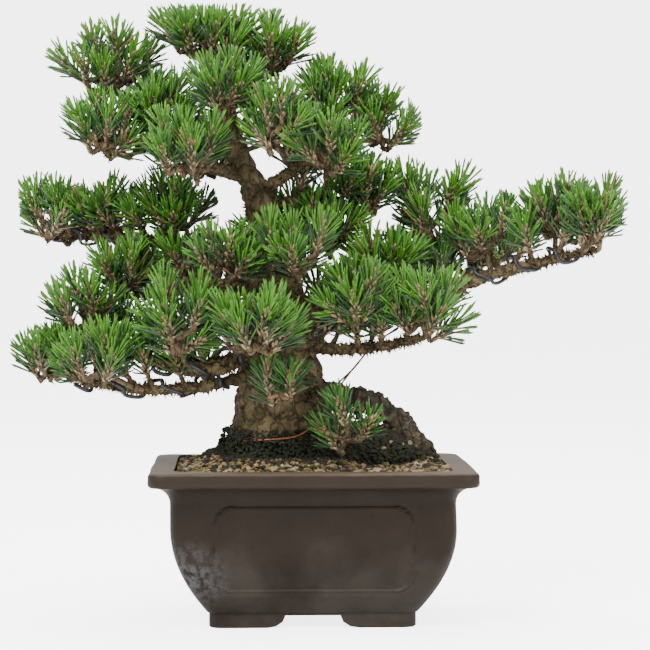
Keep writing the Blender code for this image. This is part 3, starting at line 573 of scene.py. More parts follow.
def add_node(tree, kind, settings=None, **values):
    """A node with its settings, and its inputs fed by name, where _ stands for a space."""
    made = tree.nodes.new(kind)
    for key, value in (settings or {}).items():
        setattr(made, key, value)
    for key, value in values.items():
        feed(tree, made.inputs[key.replace("_", " ")], value)
    return made


def place_group(tree, group, **values):
    """The outputs of a shader group placed in a material, its inputs fed by name."""
    return add_node(tree, "ShaderNodeGroup", {"node_tree": group}, **values).outputs


def object_place(tree):
    return tree.nodes.new("ShaderNodeTexCoord").outputs["Object"]


def calc(tree, operation, *values, clamp=False):
    """The result of a sum on numbers and sockets."""
    made = add_node(tree, "ShaderNodeMath", {"operation": operation, "use_clamp": clamp})
    for socket, value in zip(made.inputs, values):
        feed(tree, socket, value)
    return made.outputs[0]


def mix_in(tree, mask, under, over, blend="MIX"):
    """One colour laid over another where the mask is one."""
    made = add_node(tree, "ShaderNodeMix", {"data_type": "RGBA", "blend_type": blend}, Factor=mask)
    feed(tree, made.inputs[6], under)
    feed(tree, made.inputs[7], over)
    return made.outputs[2]


def new_group(name, inputs, outputs):
    """An empty shader group with its first values, the sockets given to it and those it gives."""
    group = bpy.data.node_groups.new(name, "ShaderNodeTree")
    for socket, value in inputs.items():
        kind = "NodeSocketColor" if isinstance(value, tuple) else "NodeSocketFloat"
        group.interface.new_socket(name=socket, in_out="INPUT", socket_type=kind).default_value = value
    for socket in outputs:
        kind = "NodeSocketColor" if socket == "Colour" else "NodeSocketFloat"
        group.interface.new_socket(name=socket, in_out="OUTPUT", socket_type=kind)
    given = group.nodes.new("NodeGroupInput").outputs
    return group, given, group.nodes.new("NodeGroupOutput").inputs


def mottle_group():
    """Two colours mixed by a noise of a given size, with a finer grain's height."""
    group, given, result = new_group(
        "mottle",
        {"Colour A": (0.1, 0.1, 0.1, 1.0), "Colour B": (0.2, 0.2, 0.2, 1.0),
         "Patch Scale": 60.0, "Grain Scale": 900.0, "Contrast": 2.0},
        ("Colour", "Mask", "Height"))
    place = object_place(group)
    patch = add_node(group, "ShaderNodeTexNoise", Vector=place, Scale=given["Patch Scale"],
                     Detail=6.0, Roughness=0.62)
    grain = add_node(group, "ShaderNodeTexNoise", Vector=place, Scale=given["Grain Scale"],
                     Detail=4.0, Roughness=0.6)
    centred = calc(group, "SUBTRACT", patch.outputs["Fac"], 0.5)
    spread = calc(group, "MULTIPLY_ADD", centred, given["Contrast"], 0.5, clamp=True)
    feed(group, result["Colour"], mix_in(group, spread, given["Colour A"], given["Colour B"]))
    feed(group, result["Mask"], spread)
    feed(group, result["Height"], grain.outputs["Fac"])
    return group


def cracks_group():
    """Lines between bark plates, longer than wide, where the bark is darkened partly as painted shade, and
    the plates' rounded height.
    """
    group, given, result = new_group("bark_cracks", {"Scale": 150.0, "Width": 7.0}, ("Mask", "Height"))
    place = object_place(group)
    tall = add_node(group, "ShaderNodeMapping", Vector=place, Scale=(1.0, 1.0, 0.55)).outputs[0]
    wander = add_node(group, "ShaderNodeTexNoise", Vector=place, Scale=90.0, Detail=3.0)
    bent = mix_in(group, 0.006, tall, wander.outputs["Color"], "LINEAR_LIGHT")
    plates = add_node(group, "ShaderNodeTexVoronoi", {"feature": "DISTANCE_TO_EDGE"},
                      Vector=bent, Scale=given["Scale"])
    inner = calc(group, "MULTIPLY", plates.outputs["Distance"], given["Width"], clamp=True)
    feed(group, result["Mask"], calc(group, "SUBTRACT", 1.0, inner))
    feed(group, result["Height"], inner)
    return group


def height_mask_group():
    """One below a height in metres, nought above it, with a ragged edge."""
    group, given, result = new_group(
        "height_mask", {"Height": 0.1, "Fade": 0.01, "Ragged": 0.01, "Scale": 80.0}, ("Mask",))
    place = object_place(group)
    split = add_node(group, "ShaderNodeSeparateXYZ", Vector=place)
    edge = add_node(group, "ShaderNodeTexNoise", Vector=place, Scale=given["Scale"],
                    Detail=5.0, Roughness=0.65)
    centred = calc(group, "SUBTRACT", edge.outputs["Fac"], 0.5)
    wander = calc(group, "MULTIPLY_ADD", centred, given["Ragged"], given["Height"])
    above = calc(group, "SUBTRACT", wander, split.outputs["Z"])
    feed(group, result["Mask"], calc(group, "DIVIDE", above, given["Fade"], clamp=True))
    return group


def new_material(name, colour, roughness, gloss):
    """A material, its tree and the sockets of its one shader."""
    material = bpy.data.materials.new(name)
    material.use_nodes = True
    shader = material.node_tree.nodes["Principled BSDF"].inputs
    shader["Base Color"].default_value = (*colour, 1.0)
    shader["Roughness"].default_value = roughness
    shader["Specular IOR Level"].default_value = gloss
    return material, material.node_tree, shader


def add_bump(tree, shader, height, strength, distance):
    bump = add_node(tree, "ShaderNodeBump", Strength=strength, Distance=distance, Height=height)
    feed(tree, shader["Normal"], bump.outputs["Normal"])


def mottled_material(mottle, name, colour, finish):
    """Needles, grains and wires: one colour in two shades, rough or smooth as the finish says."""
    material, tree, shader = new_material(name, colour, finish.roughness, finish.gloss)
    shader["Metallic"].default_value = finish.metal
    darker, lighter = [tuple(min(c * share, 1.0) for c in colour) for share in finish.shades]
    spots = place_group(tree, mottle, Colour_A=darker, Colour_B=lighter, Patch_Scale=finish.patch,
                        Grain_Scale=finish.grain, Contrast=finish.contrast)
    feed(tree, shader["Base Color"], spots["Colour"])
    if finish.bump:
        add_bump(tree, shader, spots["Height"], *finish.bump)
    return material


def salt_crust(tree, mottle):
    """Mask of the pale salt that dried on the front left corner of the body."""
    away = add_node(tree, "ShaderNodeVectorMath", {"operation": "DISTANCE"})
    feed(tree, away.inputs[0], object_place(tree))
    feed(tree, away.inputs[1], SALT_PLACE)
    near = add_node(tree, "ShaderNodeMapRange", Value=away.outputs["Value"], From_Min=SALT_REACH,
                    From_Max=0.0, To_Max=SALT_STRENGTH)
    specks = place_group(tree, mottle, Patch_Scale=260.0, Contrast=7.0)
    return calc(tree, "MULTIPLY", near.outputs["Result"], specks["Mask"])


def clay_material(mottle, height_mask):
    """Fired clay in brown patches, with salt haze low down, painted light on the rim's face and a painted
    sheen on its top.
    """
    material, tree, shader = new_material("brown_clay", CLAY, 0.46, 0.12)
    spots = place_group(tree, mottle, Colour_A=CLAY_DARK, Colour_B=CLAY_LIGHT, Patch_Scale=34.0, Contrast=1.8)
    haze = place_group(tree, mottle, Patch_Scale=16.0, Contrast=5.0)
    low = place_group(tree, height_mask, Height=0.05, Fade=0.03, Ragged=0.06, Scale=30.0)
    salt = calc(tree, "MULTIPLY", haze["Mask"], low["Mask"])
    colour = mix_in(tree, calc(tree, "MULTIPLY", salt, SALT_HAZE_SHARE), spots["Colour"], SALT_HAZE)
    # Painted light: the rim's face, above its lower edge, is painted a lighter colour.
    below_rim = place_group(tree, height_mask, Height=0.0845, Fade=0.003, Ragged=0.002, Scale=60.0)
    painted_light_rim = calc(tree, "SUBTRACT", 1.0, below_rim["Mask"])
    colour = mix_in(tree, calc(tree, "MULTIPLY", painted_light_rim, RIM_FACE_PAINTED_LIGHT_SHARE), colour, RIM_FACE_PAINTED_LIGHT)
    # Painted sheen: the rim's top is painted a lighter brown.
    below_top = place_group(tree, height_mask, Height=0.0925, Fade=0.0012, Ragged=0.001, Scale=90.0)
    colour = mix_in(tree, calc(tree, "SUBTRACT", 1.0, below_top["Mask"]), colour, RIM_TOP_PAINTED_SHEEN)
    colour = mix_in(tree, salt_crust(tree, mottle), colour, SALT_CRUST)
    feed(tree, shader["Base Color"], colour)
    add_bump(tree, shader, spots["Height"], 0.25, 0.0004)
    return material


def bark_material(groups, name):
    """Bark in light and dark plates with darker cracks between them, partly dark bark and partly painted
    shade, lichen, and moss low down.
    """
    mottle, height_mask, cracks = groups
    light, dark, moss_height = BARKS[name]
    material, tree, shader = new_material(name, light, 0.92, 0.25)
    plates = place_group(tree, mottle, Colour_A=dark, Colour_B=light, Patch_Scale=150.0,
                         Grain_Scale=1400.0, Contrast=3.2)
    patches = place_group(tree, mottle, Patch_Scale=28.0, Contrast=3.0)
    lines = place_group(tree, cracks, Scale=135.0, Width=9.0)
    moss = place_group(tree, height_mask, Height=moss_height, Fade=0.006, Ragged=0.030, Scale=70.0)
    colour = mix_in(tree, calc(tree, "MULTIPLY", patches["Mask"], LICHEN_SHARE), plates["Colour"], LICHEN)
    # Painted shade, in part: the cracks are darkened below the dark plates' colour.
    shaded_crack_colour = tuple(c * CRACK_PAINTED_SHADE for c in dark)
    colour = mix_in(tree, calc(tree, "MULTIPLY", lines["Mask"], CRACK_PAINTED_SHADE_SHARE), colour, shaded_crack_colour)
    feed(tree, shader["Base Color"], mix_in(tree, moss["Mask"], colour, MOSS_STAIN))
    add_bump(tree, shader, calc(tree, "MULTIPLY_ADD", lines["Height"], 0.6, plates["Height"]), 0.9, 0.0013)
    return material


# Meshes


def new_object(name, data):
    """An object in the scene for a mesh, a lamp or a camera."""
    made = bpy.data.objects.new(name, data)
    bpy.context.scene.collection.objects.link(made)
    return made


def place_piece(name, mesh, material, replaced):
    """A finished mesh as a piece that rides on the part's one body."""
    mesh.materials.append(material)
    mesh.shade_smooth()
    piece = new_object(name, mesh)
    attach(piece, BODY)
    if replaced:
        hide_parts(*replaced)
    return piece


def mesh_piece(name, verts, faces, material, replaced=()):
    """A piece from a list of points in millimetres and a list of faces."""
    mesh = bpy.data.meshes.new(name)
    mesh.from_pydata((np.asarray(verts) * MM).tolist(), [], faces)
    place_piece(name, mesh, material, replaced)


def array_piece(name, chunks, material, replaced=()):
    """One joined piece from many (points, triangles) arrays in millimetres."""
    verts = np.concatenate([chunk[0] for chunk in chunks]) * MM
    offsets = np.cumsum([0] + [len(chunk[0]) for chunk in chunks[:-1]])
    faces = np.concatenate([chunk[1] + offset for chunk, offset in zip(chunks, offsets)])
    mesh = bpy.data.meshes.new(name)
    mesh.vertices.add(len(verts))
    mesh.vertices.foreach_set("co", verts.astype(np.float32).ravel())
    mesh.loops.add(faces.size)
    mesh.loops.foreach_set("vertex_index", faces.astype(np.int32).ravel())
    mesh.polygons.add(len(faces))
    mesh.polygons.foreach_set("loop_start", np.arange(0, faces.size, 3, dtype=np.int32))
    mesh.update(calc_edges=True)
    return place_piece(name, mesh, material, replaced)


class Pile:
    """Collects the vertices and faces of many small shapes for one joined mesh."""

    def __init__(self):
        self.verts = []
        self.faces = []

    def add(self, verts, faces):
        first = len(self.verts)
        self.verts.extend(verts)
        self.faces.extend([tuple(first + i for i in face) for face in faces])


def band(row, sides):
    """Four-sided faces between a ring of points and the next one."""
    start = row * sides
    return [(start + i, start + (i + 1) % sides, start + sides + (i + 1) % sides, start + sides + i)
            for i in range(sides)]


def tube_shape(points, radii, sides, rough=0.0, rng=None):
    """A tube through points, closed at both ends by a point, with a rough skin if asked."""
    verts = []
    faces = []
    side = (points[1] - points[0]).orthogonal().normalized()
    for i, (point, radius) in enumerate(zip(points, radii)):
        after = points[min(i + 1, len(points) - 1)]
        before = points[max(i - 1, 0)]
        along = (after - before).normalized()
        side = (side - along * side.dot(along)).normalized()
        across = along.cross(side)
        for k in range(sides):
            turn = math.tau * k / sides
            reach = radius * (1.0 + (rng.uniform(-rough, rough) if rough else 0.0))
            verts.append(point + side * (reach * math.cos(turn)) + across * (reach * math.sin(turn)))
    for i in range(len(points) - 1):
        faces += band(i, sides)
    verts += [points[0], points[-1]]
    last = (len(points) - 1) * sides
    for k in range(sides):
        faces.append((len(verts) - 2, (k + 1) % sides, k))
        faces.append((len(verts) - 1, last + k, last + (k + 1) % sides))
    return verts, faces


# Pot


def loft(rings):
    """Skin a stack of rings that have the same number of points, with a flat cap at each end."""
    bm = bmesh.new()
    rows = [[bm.verts.new(point) for point in ring] for ring in rings]
    for low, high in zip(rows, rows[1:]):
        for i, vert in enumerate(low):
            j = (i + 1) % len(low)
            bm.faces.new((vert, low[j], high[j]))
            bm.faces.new((vert, high[j], high[i]))
    bm.faces.new(rows[0])
    bm.faces.new(rows[-1])
    return bm


def pot_section(inset, z):
    """The pot's rounded outline at a height, set in from the rim's by the same width all round."""
    corner = RIM_CORNER + (FOOT_CORNER - RIM_CORNER) * min(1.0, inset / FOOT_INSET)
    half_x = RIM_LENGTH / 2 - inset
    half_y = RIM_DEPTH / 2 - inset
    points = []
    for quarter, (sign_x, sign_y) in enumerate(((1, 1), (-1, 1), (-1, -1), (1, -1))):
        for step in range(CORNER_STEPS + 1):
            turn = math.radians(90.0 * (quarter + step / CORNER_STEPS))
            x = sign_x * (half_x - corner) + corner * math.cos(turn)
            y = sign_y * (half_y - corner) + corner * math.sin(turn)
            points.append(Vector((x, y, z)))
    return points


def bowl_inset(z):
    """The body narrows from its widest part to the feet along a parabola."""
    drop = (BODY_WIDEST - z) / (BODY_WIDEST - FOOT_HEIGHT)
    return BODY_INSET + (FOOT_INSET - FOOT_STEP - BODY_INSET) * max(drop, 0.0) ** 2


def inner_profile():
    """Insets and heights of the cavity, from its floor to the rim's inner edge and above."""
    heights = [FLOOR_TOP + (BODY_WIDEST - FLOOR_TOP) * step / INNER_STEPS for step in range(INNER_STEPS + 1)]
    return [(bowl_inset(z) + WALL, z) for z in heights] + [
        (BODY_INSET + WALL, BODY_TOP), (RIM_TOP_WIDTH, POT_HEIGHT), (RIM_TOP_WIDTH, POT_HEIGHT + OPEN_TOP)]


def outside_profile():
    """Insets and heights up the outside: foot, body, cove under the rim and rounded rim."""
    profile = [(FOOT_INSET + FOOT_CHAMFER, 0.0), (FOOT_INSET, FOOT_CHAMFER), (FOOT_INSET, FOOT_HEIGHT)]
    for step in range(BOWL_STEPS + 1):
        z = FOOT_HEIGHT + (BODY_WIDEST - FOOT_HEIGHT) * step / BOWL_STEPS
        profile.append((bowl_inset(z), z))
    for step in range(1, WALL_STEPS + 1):
        profile.append((BODY_INSET, BODY_WIDEST + (BODY_TOP - BODY_WIDEST) * step / WALL_STEPS))
    rim_bottom = POT_HEIGHT - RIM_FACE
    for step in range(1, COVE_STEPS + 1):
        turn = math.radians(90.0 * step / COVE_STEPS)
        inset = RIM_ROUND + (BODY_INSET - RIM_ROUND) * math.cos(turn)
        profile.append((inset, BODY_TOP + (rim_bottom - BODY_TOP) * math.sin(turn)))
    for middle, first in ((rim_bottom + RIM_ROUND, -90.0), (POT_HEIGHT - RIM_ROUND, 0.0)):
        for step in range(1, RIM_ARC_STEPS + 1):
            turn = math.radians(first + 90.0 * step / RIM_ARC_STEPS)
            profile.append((RIM_ROUND * (1.0 - math.cos(turn)), middle + RIM_ROUND * math.sin(turn)))
    return profile


def side_points(section):
    """A section with more points along its straight sides."""
    points = []
    for i, point in enumerate(section):
        after = section[(i + 1) % len(section)]
        steps = SIDE_STEPS if (after - point).length > LONG_SIDE else 1
        points += [point.lerp(after, step / steps) for step in range(steps)]
    return points


def panel_push(along, z, width):
    """How far a panel's soft-edged recess sinks the wall, and its lip raises it."""
    off_x = abs(along) - (width / 2 - PANEL_CORNER)
    off_z = abs(z - (PANEL_BOTTOM + PANEL_TOP) / 2) - ((PANEL_TOP - PANEL_BOTTOM) / 2 - PANEL_CORNER)
    outside = math.hypot(max(off_x, 0.0), max(off_z, 0.0)) + min(max(off_x, off_z), 0.0) - PANEL_CORNER
    sink = 0.5 - 0.5 * math.tanh(outside / PANEL_SOFTNESS)
    lip = math.exp(-((outside - PANEL_LIP_PLACE) / PANEL_SOFTNESS) ** 2)
    return PANEL_DEPTH * sink - PANEL_LIP * lip


def clay_point(point, inset):
    """A point of the outside wall with its panel and the slight waviness of pressed clay."""
    moved = point.copy()
    if abs(abs(point.y) - (RIM_DEPTH / 2 - inset)) < ON_WALL:
        moved.y -= math.copysign(panel_push(point.x, point.z, FRONT_PANEL_WIDTH), point.y)
    elif abs(abs(point.x) - (RIM_LENGTH / 2 - inset)) < ON_WALL:
        moved.x -= math.copysign(panel_push(point.y, point.z, SIDE_PANEL_WIDTH), point.x)
    if point.z > FOOT_HEIGHT:
        wave = noise.noise_vector(point * CLAY_WAVE_SCALE) * CLAY_WAVE
        wave.z *= RIM_WAVE_SHARE if point.z > BODY_TOP else 0.0
        moved += wave
    return moved


def cutout_bar(widths, axis, half_run):
    """A bar under the pot that is wide at the ground and narrows to its flat top in two arcs."""
    wide, narrow = widths
    reach = (wide - narrow) / 2
    outline = [(-wide / 2, -OVERSHOOT), (wide / 2, -OVERSHOOT), (wide / 2, 0.0)]
    for step in range(1, CUTOUT_ARC_STEPS + 1):
        turn = math.radians(90.0 * step / CUTOUT_ARC_STEPS)
        outline.append((wide / 2 - reach * math.sin(turn), CUTOUT_HEIGHT * (1.0 - math.cos(turn))))
    outline += [(-x, z) for x, z in reversed(outline[2:])]
    return loft([[Vector((x, side, z) if axis == "Y" else (side, x, z)) for x, z in outline]
                 for side in (-half_run, half_run)])


def shape_object(name, bm):
    """An object in metres from a closed shape in millimetres."""
    bmesh.ops.recalc_face_normals(bm, faces=bm.faces[:])
    bmesh.ops.scale(bm, vec=Vector((MM, MM, MM)), verts=bm.verts[:])
    mesh = bpy.data.meshes.new(name)
    bm.to_mesh(mesh)
    bm.free()
    return new_object(name, mesh)


def cut_with(thing, bm):
    """Cut a shape out of an object."""
    cutter = shape_object("cutter", bm)
    modifier = thing.modifiers.new("Cut", "BOOLEAN")
    modifier.operation = "DIFFERENCE"
    modifier.solver = "EXACT"
    modifier.object = cutter
    shape = thing.evaluated_get(bpy.context.evaluated_depsgraph_get())
    mesh = bpy.data.meshes.new_from_object(shape)
    thing.modifiers.remove(modifier)
    thing.data = mesh
    bpy.data.objects.remove(cutter)


def make_pot(material):
    """The pot with its cavity, recessed underside, cut-outs between the feet and drain holes."""
    rings = [[clay_point(point, inset) for point in side_points(pot_section(inset, z))]
             for inset, z in outside_profile()]
    pot = shape_object("fired_clay_pot", loft(rings))
    cut_with(pot, loft([pot_section(inset, z) for inset, z in inner_profile()]))
    cut_with(pot, loft([pot_section(FOOT_INSET + FOOT_BAND, z) for z in (-OVERSHOOT, UNDERSIDE_RECESS)]))
    cut_with(pot, cutout_bar(FRONT_CUTOUT, "Y", RIM_DEPTH / 2))
    cut_with(pot, cutout_bar(SIDE_CUTOUT, "X", RIM_LENGTH / 2))
    for side in (-1, 1):
        drain = bmesh.new()
        place = Matrix.Translation((side * DRAIN_SPACING / 2, 0.0, FLOOR_TOP / 2))
        bmesh.ops.create_cone(drain, cap_ends=True, segments=DRAIN_SIDES, radius1=DRAIN_RADIUS,
                              radius2=DRAIN_RADIUS, depth=FLOOR_TOP * DRAIN_REACH, matrix=place)
        cut_with(pot, drain)
    pot.data.materials.clear()
    pot.data.materials.append(material)
    pot.data.shade_smooth()
    pot.data.set_sharp_from_angle(angle=math.radians(SHARP_ANGLE))
    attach(pot, BODY)
    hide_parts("pot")


# Trunk and boughs


def flare(turn, z):
    """How much wider the trunk is where a root ridge runs down it."""
    swell = 0.0
    for ridge in FLARE_TURNS:
        away = (math.degrees(turn) - ridge + 180.0) % 360.0 - 180.0
        swell += math.exp(-(away / FLARE_SPREAD) ** 2)
    return 1.0 + FLARE_SWELL * swell * math.exp(-(z - GROUND) / FLARE_FADE)


def limb_at(route, share):
    """Point, direction and radius at a share of a limb's length."""
    spans = [(b[0] - a[0]).length for a, b in zip(route, route[1:])]
    left = share * sum(spans)
    for (a, radius_a), (b, radius_b), span in zip(route, route[1:], spans):
        if left <= span or b is route[-1][0]:
            t = min(left / span, 1.0)
            return a.lerp(b, t), (b - a).normalized(), radius_a + (radius_b - radius_a) * t
        left -= span
    return route[-1][0], (route[-1][0] - route[-2][0]).normalized(), route[-1][1]


def bough_route(bough, limbs):
    """Points and radii along a bough, from inside its parent to its tip."""
    start, along, _ = limb_at(limbs[bough.parent], bough.start)
    route = []
    if bough.parent != "trunk":
        route.append((start, bough.radii[0]))
        start = start + along * STRAIGHT_START
    line = Vector(bough.tip) - start
    left = UP.cross(line).normalized()
    for step in range(BOUGH_STEPS + 1):
        t = step / BOUGH_STEPS
        bow = 4.0 * t * (1.0 - t)
        point = start + line * t + UP * (bough.arch * bow) + left * (bough.sweep * bow)
        route.append((point, bough.radii[0] + (bough.radii[1] - bough.radii[0]) * t))
    return route


def all_limbs():
    """Routes of the trunk and of every bough, by name."""
    limbs = {"trunk": [(Vector((x, y, z)), radius) for z, x, y, radius in smooth_rows(TRUNK, TRUNK_STEPS)]}
    for bough in BOUGHS:
        limbs[bough.name] = bough_route(bough, limbs)
    return limbs


def bark_relief(point, plate, depth):
    """Height of the bark's plates over a limb: cracks between lifted flakes."""
    spot = Vector((point.x / plate, point.y / plate, point.z / (plate * PLATE_LENGTH)))
    spot += noise.noise_vector(spot * PLATE_WANDER_SCALE) * PLATE_WANDER
    distances, _ = noise.voronoi(spot, distance_metric="DISTANCE")
    flake = min((distances[1] - distances[0]) * CRACK_SLOPE, 1.0)
    fine = noise.fractal(point * (1.0 / (plate * FINE_GRAIN_SIZE)), 1.0, 2.0, 3)
    return depth * (flake - CRACK_LEVEL) + depth * FINE_GRAIN_SHARE * fine


def make_trunk(material):
    """The trunk with its root flare and plated bark, from a flat cut at the ground to its tip."""
    verts = []
    faces = []
    rows = smooth_rows(TRUNK, TRUNK_STEPS)
    for z, x, y, radius in rows:
        relief = TRUNK_RELIEF * min(1.0, radius / FULL_RELIEF_RADIUS)
        for i in range(BARK_SIDES):
            turn = math.tau * i / BARK_SIDES
            reach = radius * flare(turn, z)
            point = Vector((x + reach * math.cos(turn), y + reach * math.sin(turn), z))
            reach += bark_relief(point, TRUNK_PLATE, relief)
            verts.append(Vector((x + reach * math.cos(turn), y + reach * math.sin(turn), z)))
    for row in range(len(rows) - 1):
        faces += band(row, BARK_SIDES)
    faces.append(tuple(reversed(range(BARK_SIDES))))
    faces.append(tuple(range(len(verts) - BARK_SIDES, len(verts))))
    mesh_piece("bark_trunk", verts, faces, material, ("trunk",))


def shouldered(route):
    """The surface root runs out level, then turns down into the soil, and thickens to its foot."""
    raised = []
    for i, (point, radius) in enumerate(route):
        t = i / (len(route) - 1)
        lift = ROOT_SHOULDER * math.sin(math.pi * t ** ROOT_SHOULDER_LATE)
        raised.append((point + UP * lift, radius + ROOT_THICKER * math.sin(math.pi * t)))
    return raised


def make_bough(bough, limbs, material):
    """A bough with flaking bark, lumps and a slight wander, sunk into its parent."""
    route = limbs[bough.name]
    if bough.name == "surface_root":
        route = shouldered(route)
    fine = smooth_rows([(*point, radius) for point, radius in route], BOUGH_REFINE)
    points = [Vector(row[:3]) for row in fine]
    verts, faces = tube_shape(points, [row[3] for row in fine], BOUGH_SIDES)
    shaped = []
    for number, vert in enumerate(verts[:-2]):
        ring = number // BOUGH_SIDES
        radius = fine[ring][3]
        out = (vert - points[ring]).normalized()
        lump = BOUGH_LUMP * radius * noise.noise(points[ring] * BOUGH_LUMP_SCALE)
        relief = bark_relief(vert, BOUGH_PLATE, BOUGH_RELIEF_SHARE * radius + BOUGH_RELIEF)
        shaped.append(vert + out * (relief + lump))
    mesh_piece("bark_" + bough.name, shaped + verts[-2:], faces, material, (bough.name,))


def flakes_on(line, count, size, rng, shapes):
    """Loose plates of bark that lie on a limb's skin, a little lifted, as arrays."""
    made = []
    for _ in range(count):
        centre, along, radius = limb_at(line, rng.uniform(*FLAKE_SPAN))
        side = along.orthogonal().normalized()
        out = Matrix.Rotation(rng.uniform(0.0, math.tau), 3, along) @ side
        across = along.cross(out)
        tilt = Matrix.Rotation(rng.uniform(-FLAKE_TILT, FLAKE_TILT), 3, across)
        verts, faces = rng.choice(shapes)
        stretch = FLAKE_SHAPE * (size * rng.uniform(*FLAKE_SIZES))
        turned = np.array(tilt @ Matrix((across, along, out)).transposed())
        spot = np.array(centre + out * radius * rng.uniform(*FLAKE_LIFT))
        made.append(((verts * stretch) @ turned.T + spot, faces))
    return made


def make_flakes(limbs, light, dark):
    """Light and dark bark plates over the boughs."""
    rng = random.Random(FLAKE_SEED)
    shapes = grain_shapes()
    for name, material, share in (("light_flakes", light, LIGHT_FLAKES), ("dark_flakes", dark, DARK_FLAKES)):
        made = []
        for bough in BOUGHS:
            line = limbs[bough.name]
            thick = (bough.radii[0] + bough.radii[1]) / 2
            count = round(limb_length(line) * thick * FLAKE_DENSITY * share)
            made += flakes_on(line, count, min(thick * FLAKE_SHARE, FLAKE_LARGEST), rng, shapes)
        array_piece(name, made, material).data.shade_flat()


# Needles and twigs


def unit(ways):
    """Directions in rows, each brought to length one."""
    return ways / np.linalg.norm(ways, axis=1)[:, None]


def ellipsoid_reach(centre, radii, starts, ways, limit):
    """Lengths of needles from `starts` along `ways` inside an ellipsoid and the CAD box, to `limit`."""
    local = (starts - centre) / radii
    run = ways / radii
    a = (run * run).sum(axis=1)
    b = (local * run).sum(axis=1)
    c = (local * local).sum(axis=1) - 1.0
    root = np.sqrt(np.maximum(b * b - a * c, 0.0))
    lengths = np.clip((root - b) / a, 0.0, limit)
    for axis in range(3):
        for side, sign in ((CAD_BOX[0][axis], -1.0), (CAD_BOX[1][axis], 1.0)):
            toward = np.maximum(ways[:, axis] * sign, 0.001)
            room = np.maximum((side / MM - starts[:, axis]) * sign, 0.0)
            lengths = np.minimum(lengths, room / toward)
    return lengths


def cross_axes(ways):
    """Two directions across each of many directions, as arrays."""
    helper = np.where(np.abs(ways[:, 2:3]) < 0.9, np.array((0.0, 0.0, 1.0)), np.array((1.0, 0.0, 0.0)))
    side = unit(np.cross(ways, helper))
    return side, np.cross(ways, side)


def triangle_rings(rings, side, across):
    """Three corners round each of the rings' (middles, radius) pairs, ring by ring."""
    corners = []
    for middles, radius in rings:
        for k in range(3):
            turn = math.tau * k / 3
            corners.append(middles + (side * math.cos(turn) + across * math.sin(turn)) * radius)
    return corners


def stacked(corners, pattern):
    """Vertices and faces of many like shapes from their corners and one shape's faces."""
    verts = np.stack(corners, axis=1)
    faces = np.array(pattern)[None] + (np.arange(len(verts)) * len(corners))[:, None, None]
    return verts.reshape(-1, 3), faces.reshape(-1, 3)


def spike_mesh(roots, ways, lengths, radius):
    """Short pointed scales and sheaths of four faces, as two arrays."""
    corners = triangle_rings(((roots, radius),), *cross_axes(ways))
    corners.append(roots + ways * lengths[:, None])
    return stacked(corners, [(0, 1, 3), (1, 2, 3), (2, 0, 3), (0, 2, 1)])


def needle_mesh(roots, ways, lengths, draw):
    """Three-sided needles that bend a little upward and narrow late, as two arrays."""
    count = len(roots)
    side, across = cross_axes(ways)
    bend = np.outer(lengths * draw.uniform(*NEEDLE_BEND, count), (0.0, 0.0, 1.0))
    bend += side * (lengths * draw.normal(0.0, NEEDLE_SWAY, count))[:, None]
    shoulder = roots + ways * (lengths * NEEDLE_SHOULDER)[:, None] + bend * SHOULDER_BEND
    rings = ((roots, NEEDLE_RADIUS * NEEDLE_FOOT), (shoulder, NEEDLE_RADIUS))
    corners = triangle_rings(rings, side, across)
    corners.append(roots + ways * lengths[:, None] + bend)
    pattern = []
    for a, b in ((0, 1), (1, 2), (2, 0)):
        pattern += [(a, b, b + 3), (a, b + 3, a + 3), (a + 3, b + 3, 6)]
    return stacked(corners, pattern)


def needle_arrays(base, aim, mass, size, draw):
    """Roots, directions, lengths and places up the shoot of a tuft's needles, in pairs, and sheaths."""
    count = PAIRS_A_TUFT
    share = (np.arange(count) + draw.uniform(0.0, 1.0, count)) / count
    turn = np.arange(count) * GOLDEN_ANGLE + draw.uniform(*TURN_JITTER, count)
    spread = draw.normal(0.0, OPEN_ANGLE_SPREAD, count)
    open_angle = np.radians(OPEN_ANGLE - OPEN_ANGLE_DROP * share ** OPEN_ANGLE_CURVE + spread)
    axis = np.array(aim)
    side, across = (rows[0] for rows in cross_axes(axis[None]))
    out = np.outer(np.cos(turn), side) + np.outer(np.sin(turn), across)
    ways = out * np.sin(open_angle)[:, None] + np.outer(np.cos(open_angle), axis)
    roots = np.array(base) + np.outer((share - LOWEST_PAIR) * CANDLE_LENGTH, axis) + out
    sheaths = spike_mesh(roots, ways, np.full(count, SHEATH_LENGTH), SHEATH_RADIUS)
    roots = roots + ways * SHEATH_COVER
    twin = draw.normal(0.0, TWIN_SPREAD, (count, 3))
    ways = unit(np.concatenate((ways + twin, ways - twin)))
    roots = np.concatenate((roots, roots))
    lengths = NEEDLE_LENGTH * size * draw.uniform(*NEEDLE_LENGTHS, 2 * count)
    lengths = ellipsoid_reach(np.array(mass.centre), np.array(mass.radii) * REACH_SHARE, roots, ways, lengths)
    keep = lengths > NEEDLE_SHORTEST
    return roots[keep], ways[keep], lengths[keep], np.concatenate((share, share))[keep], sheaths


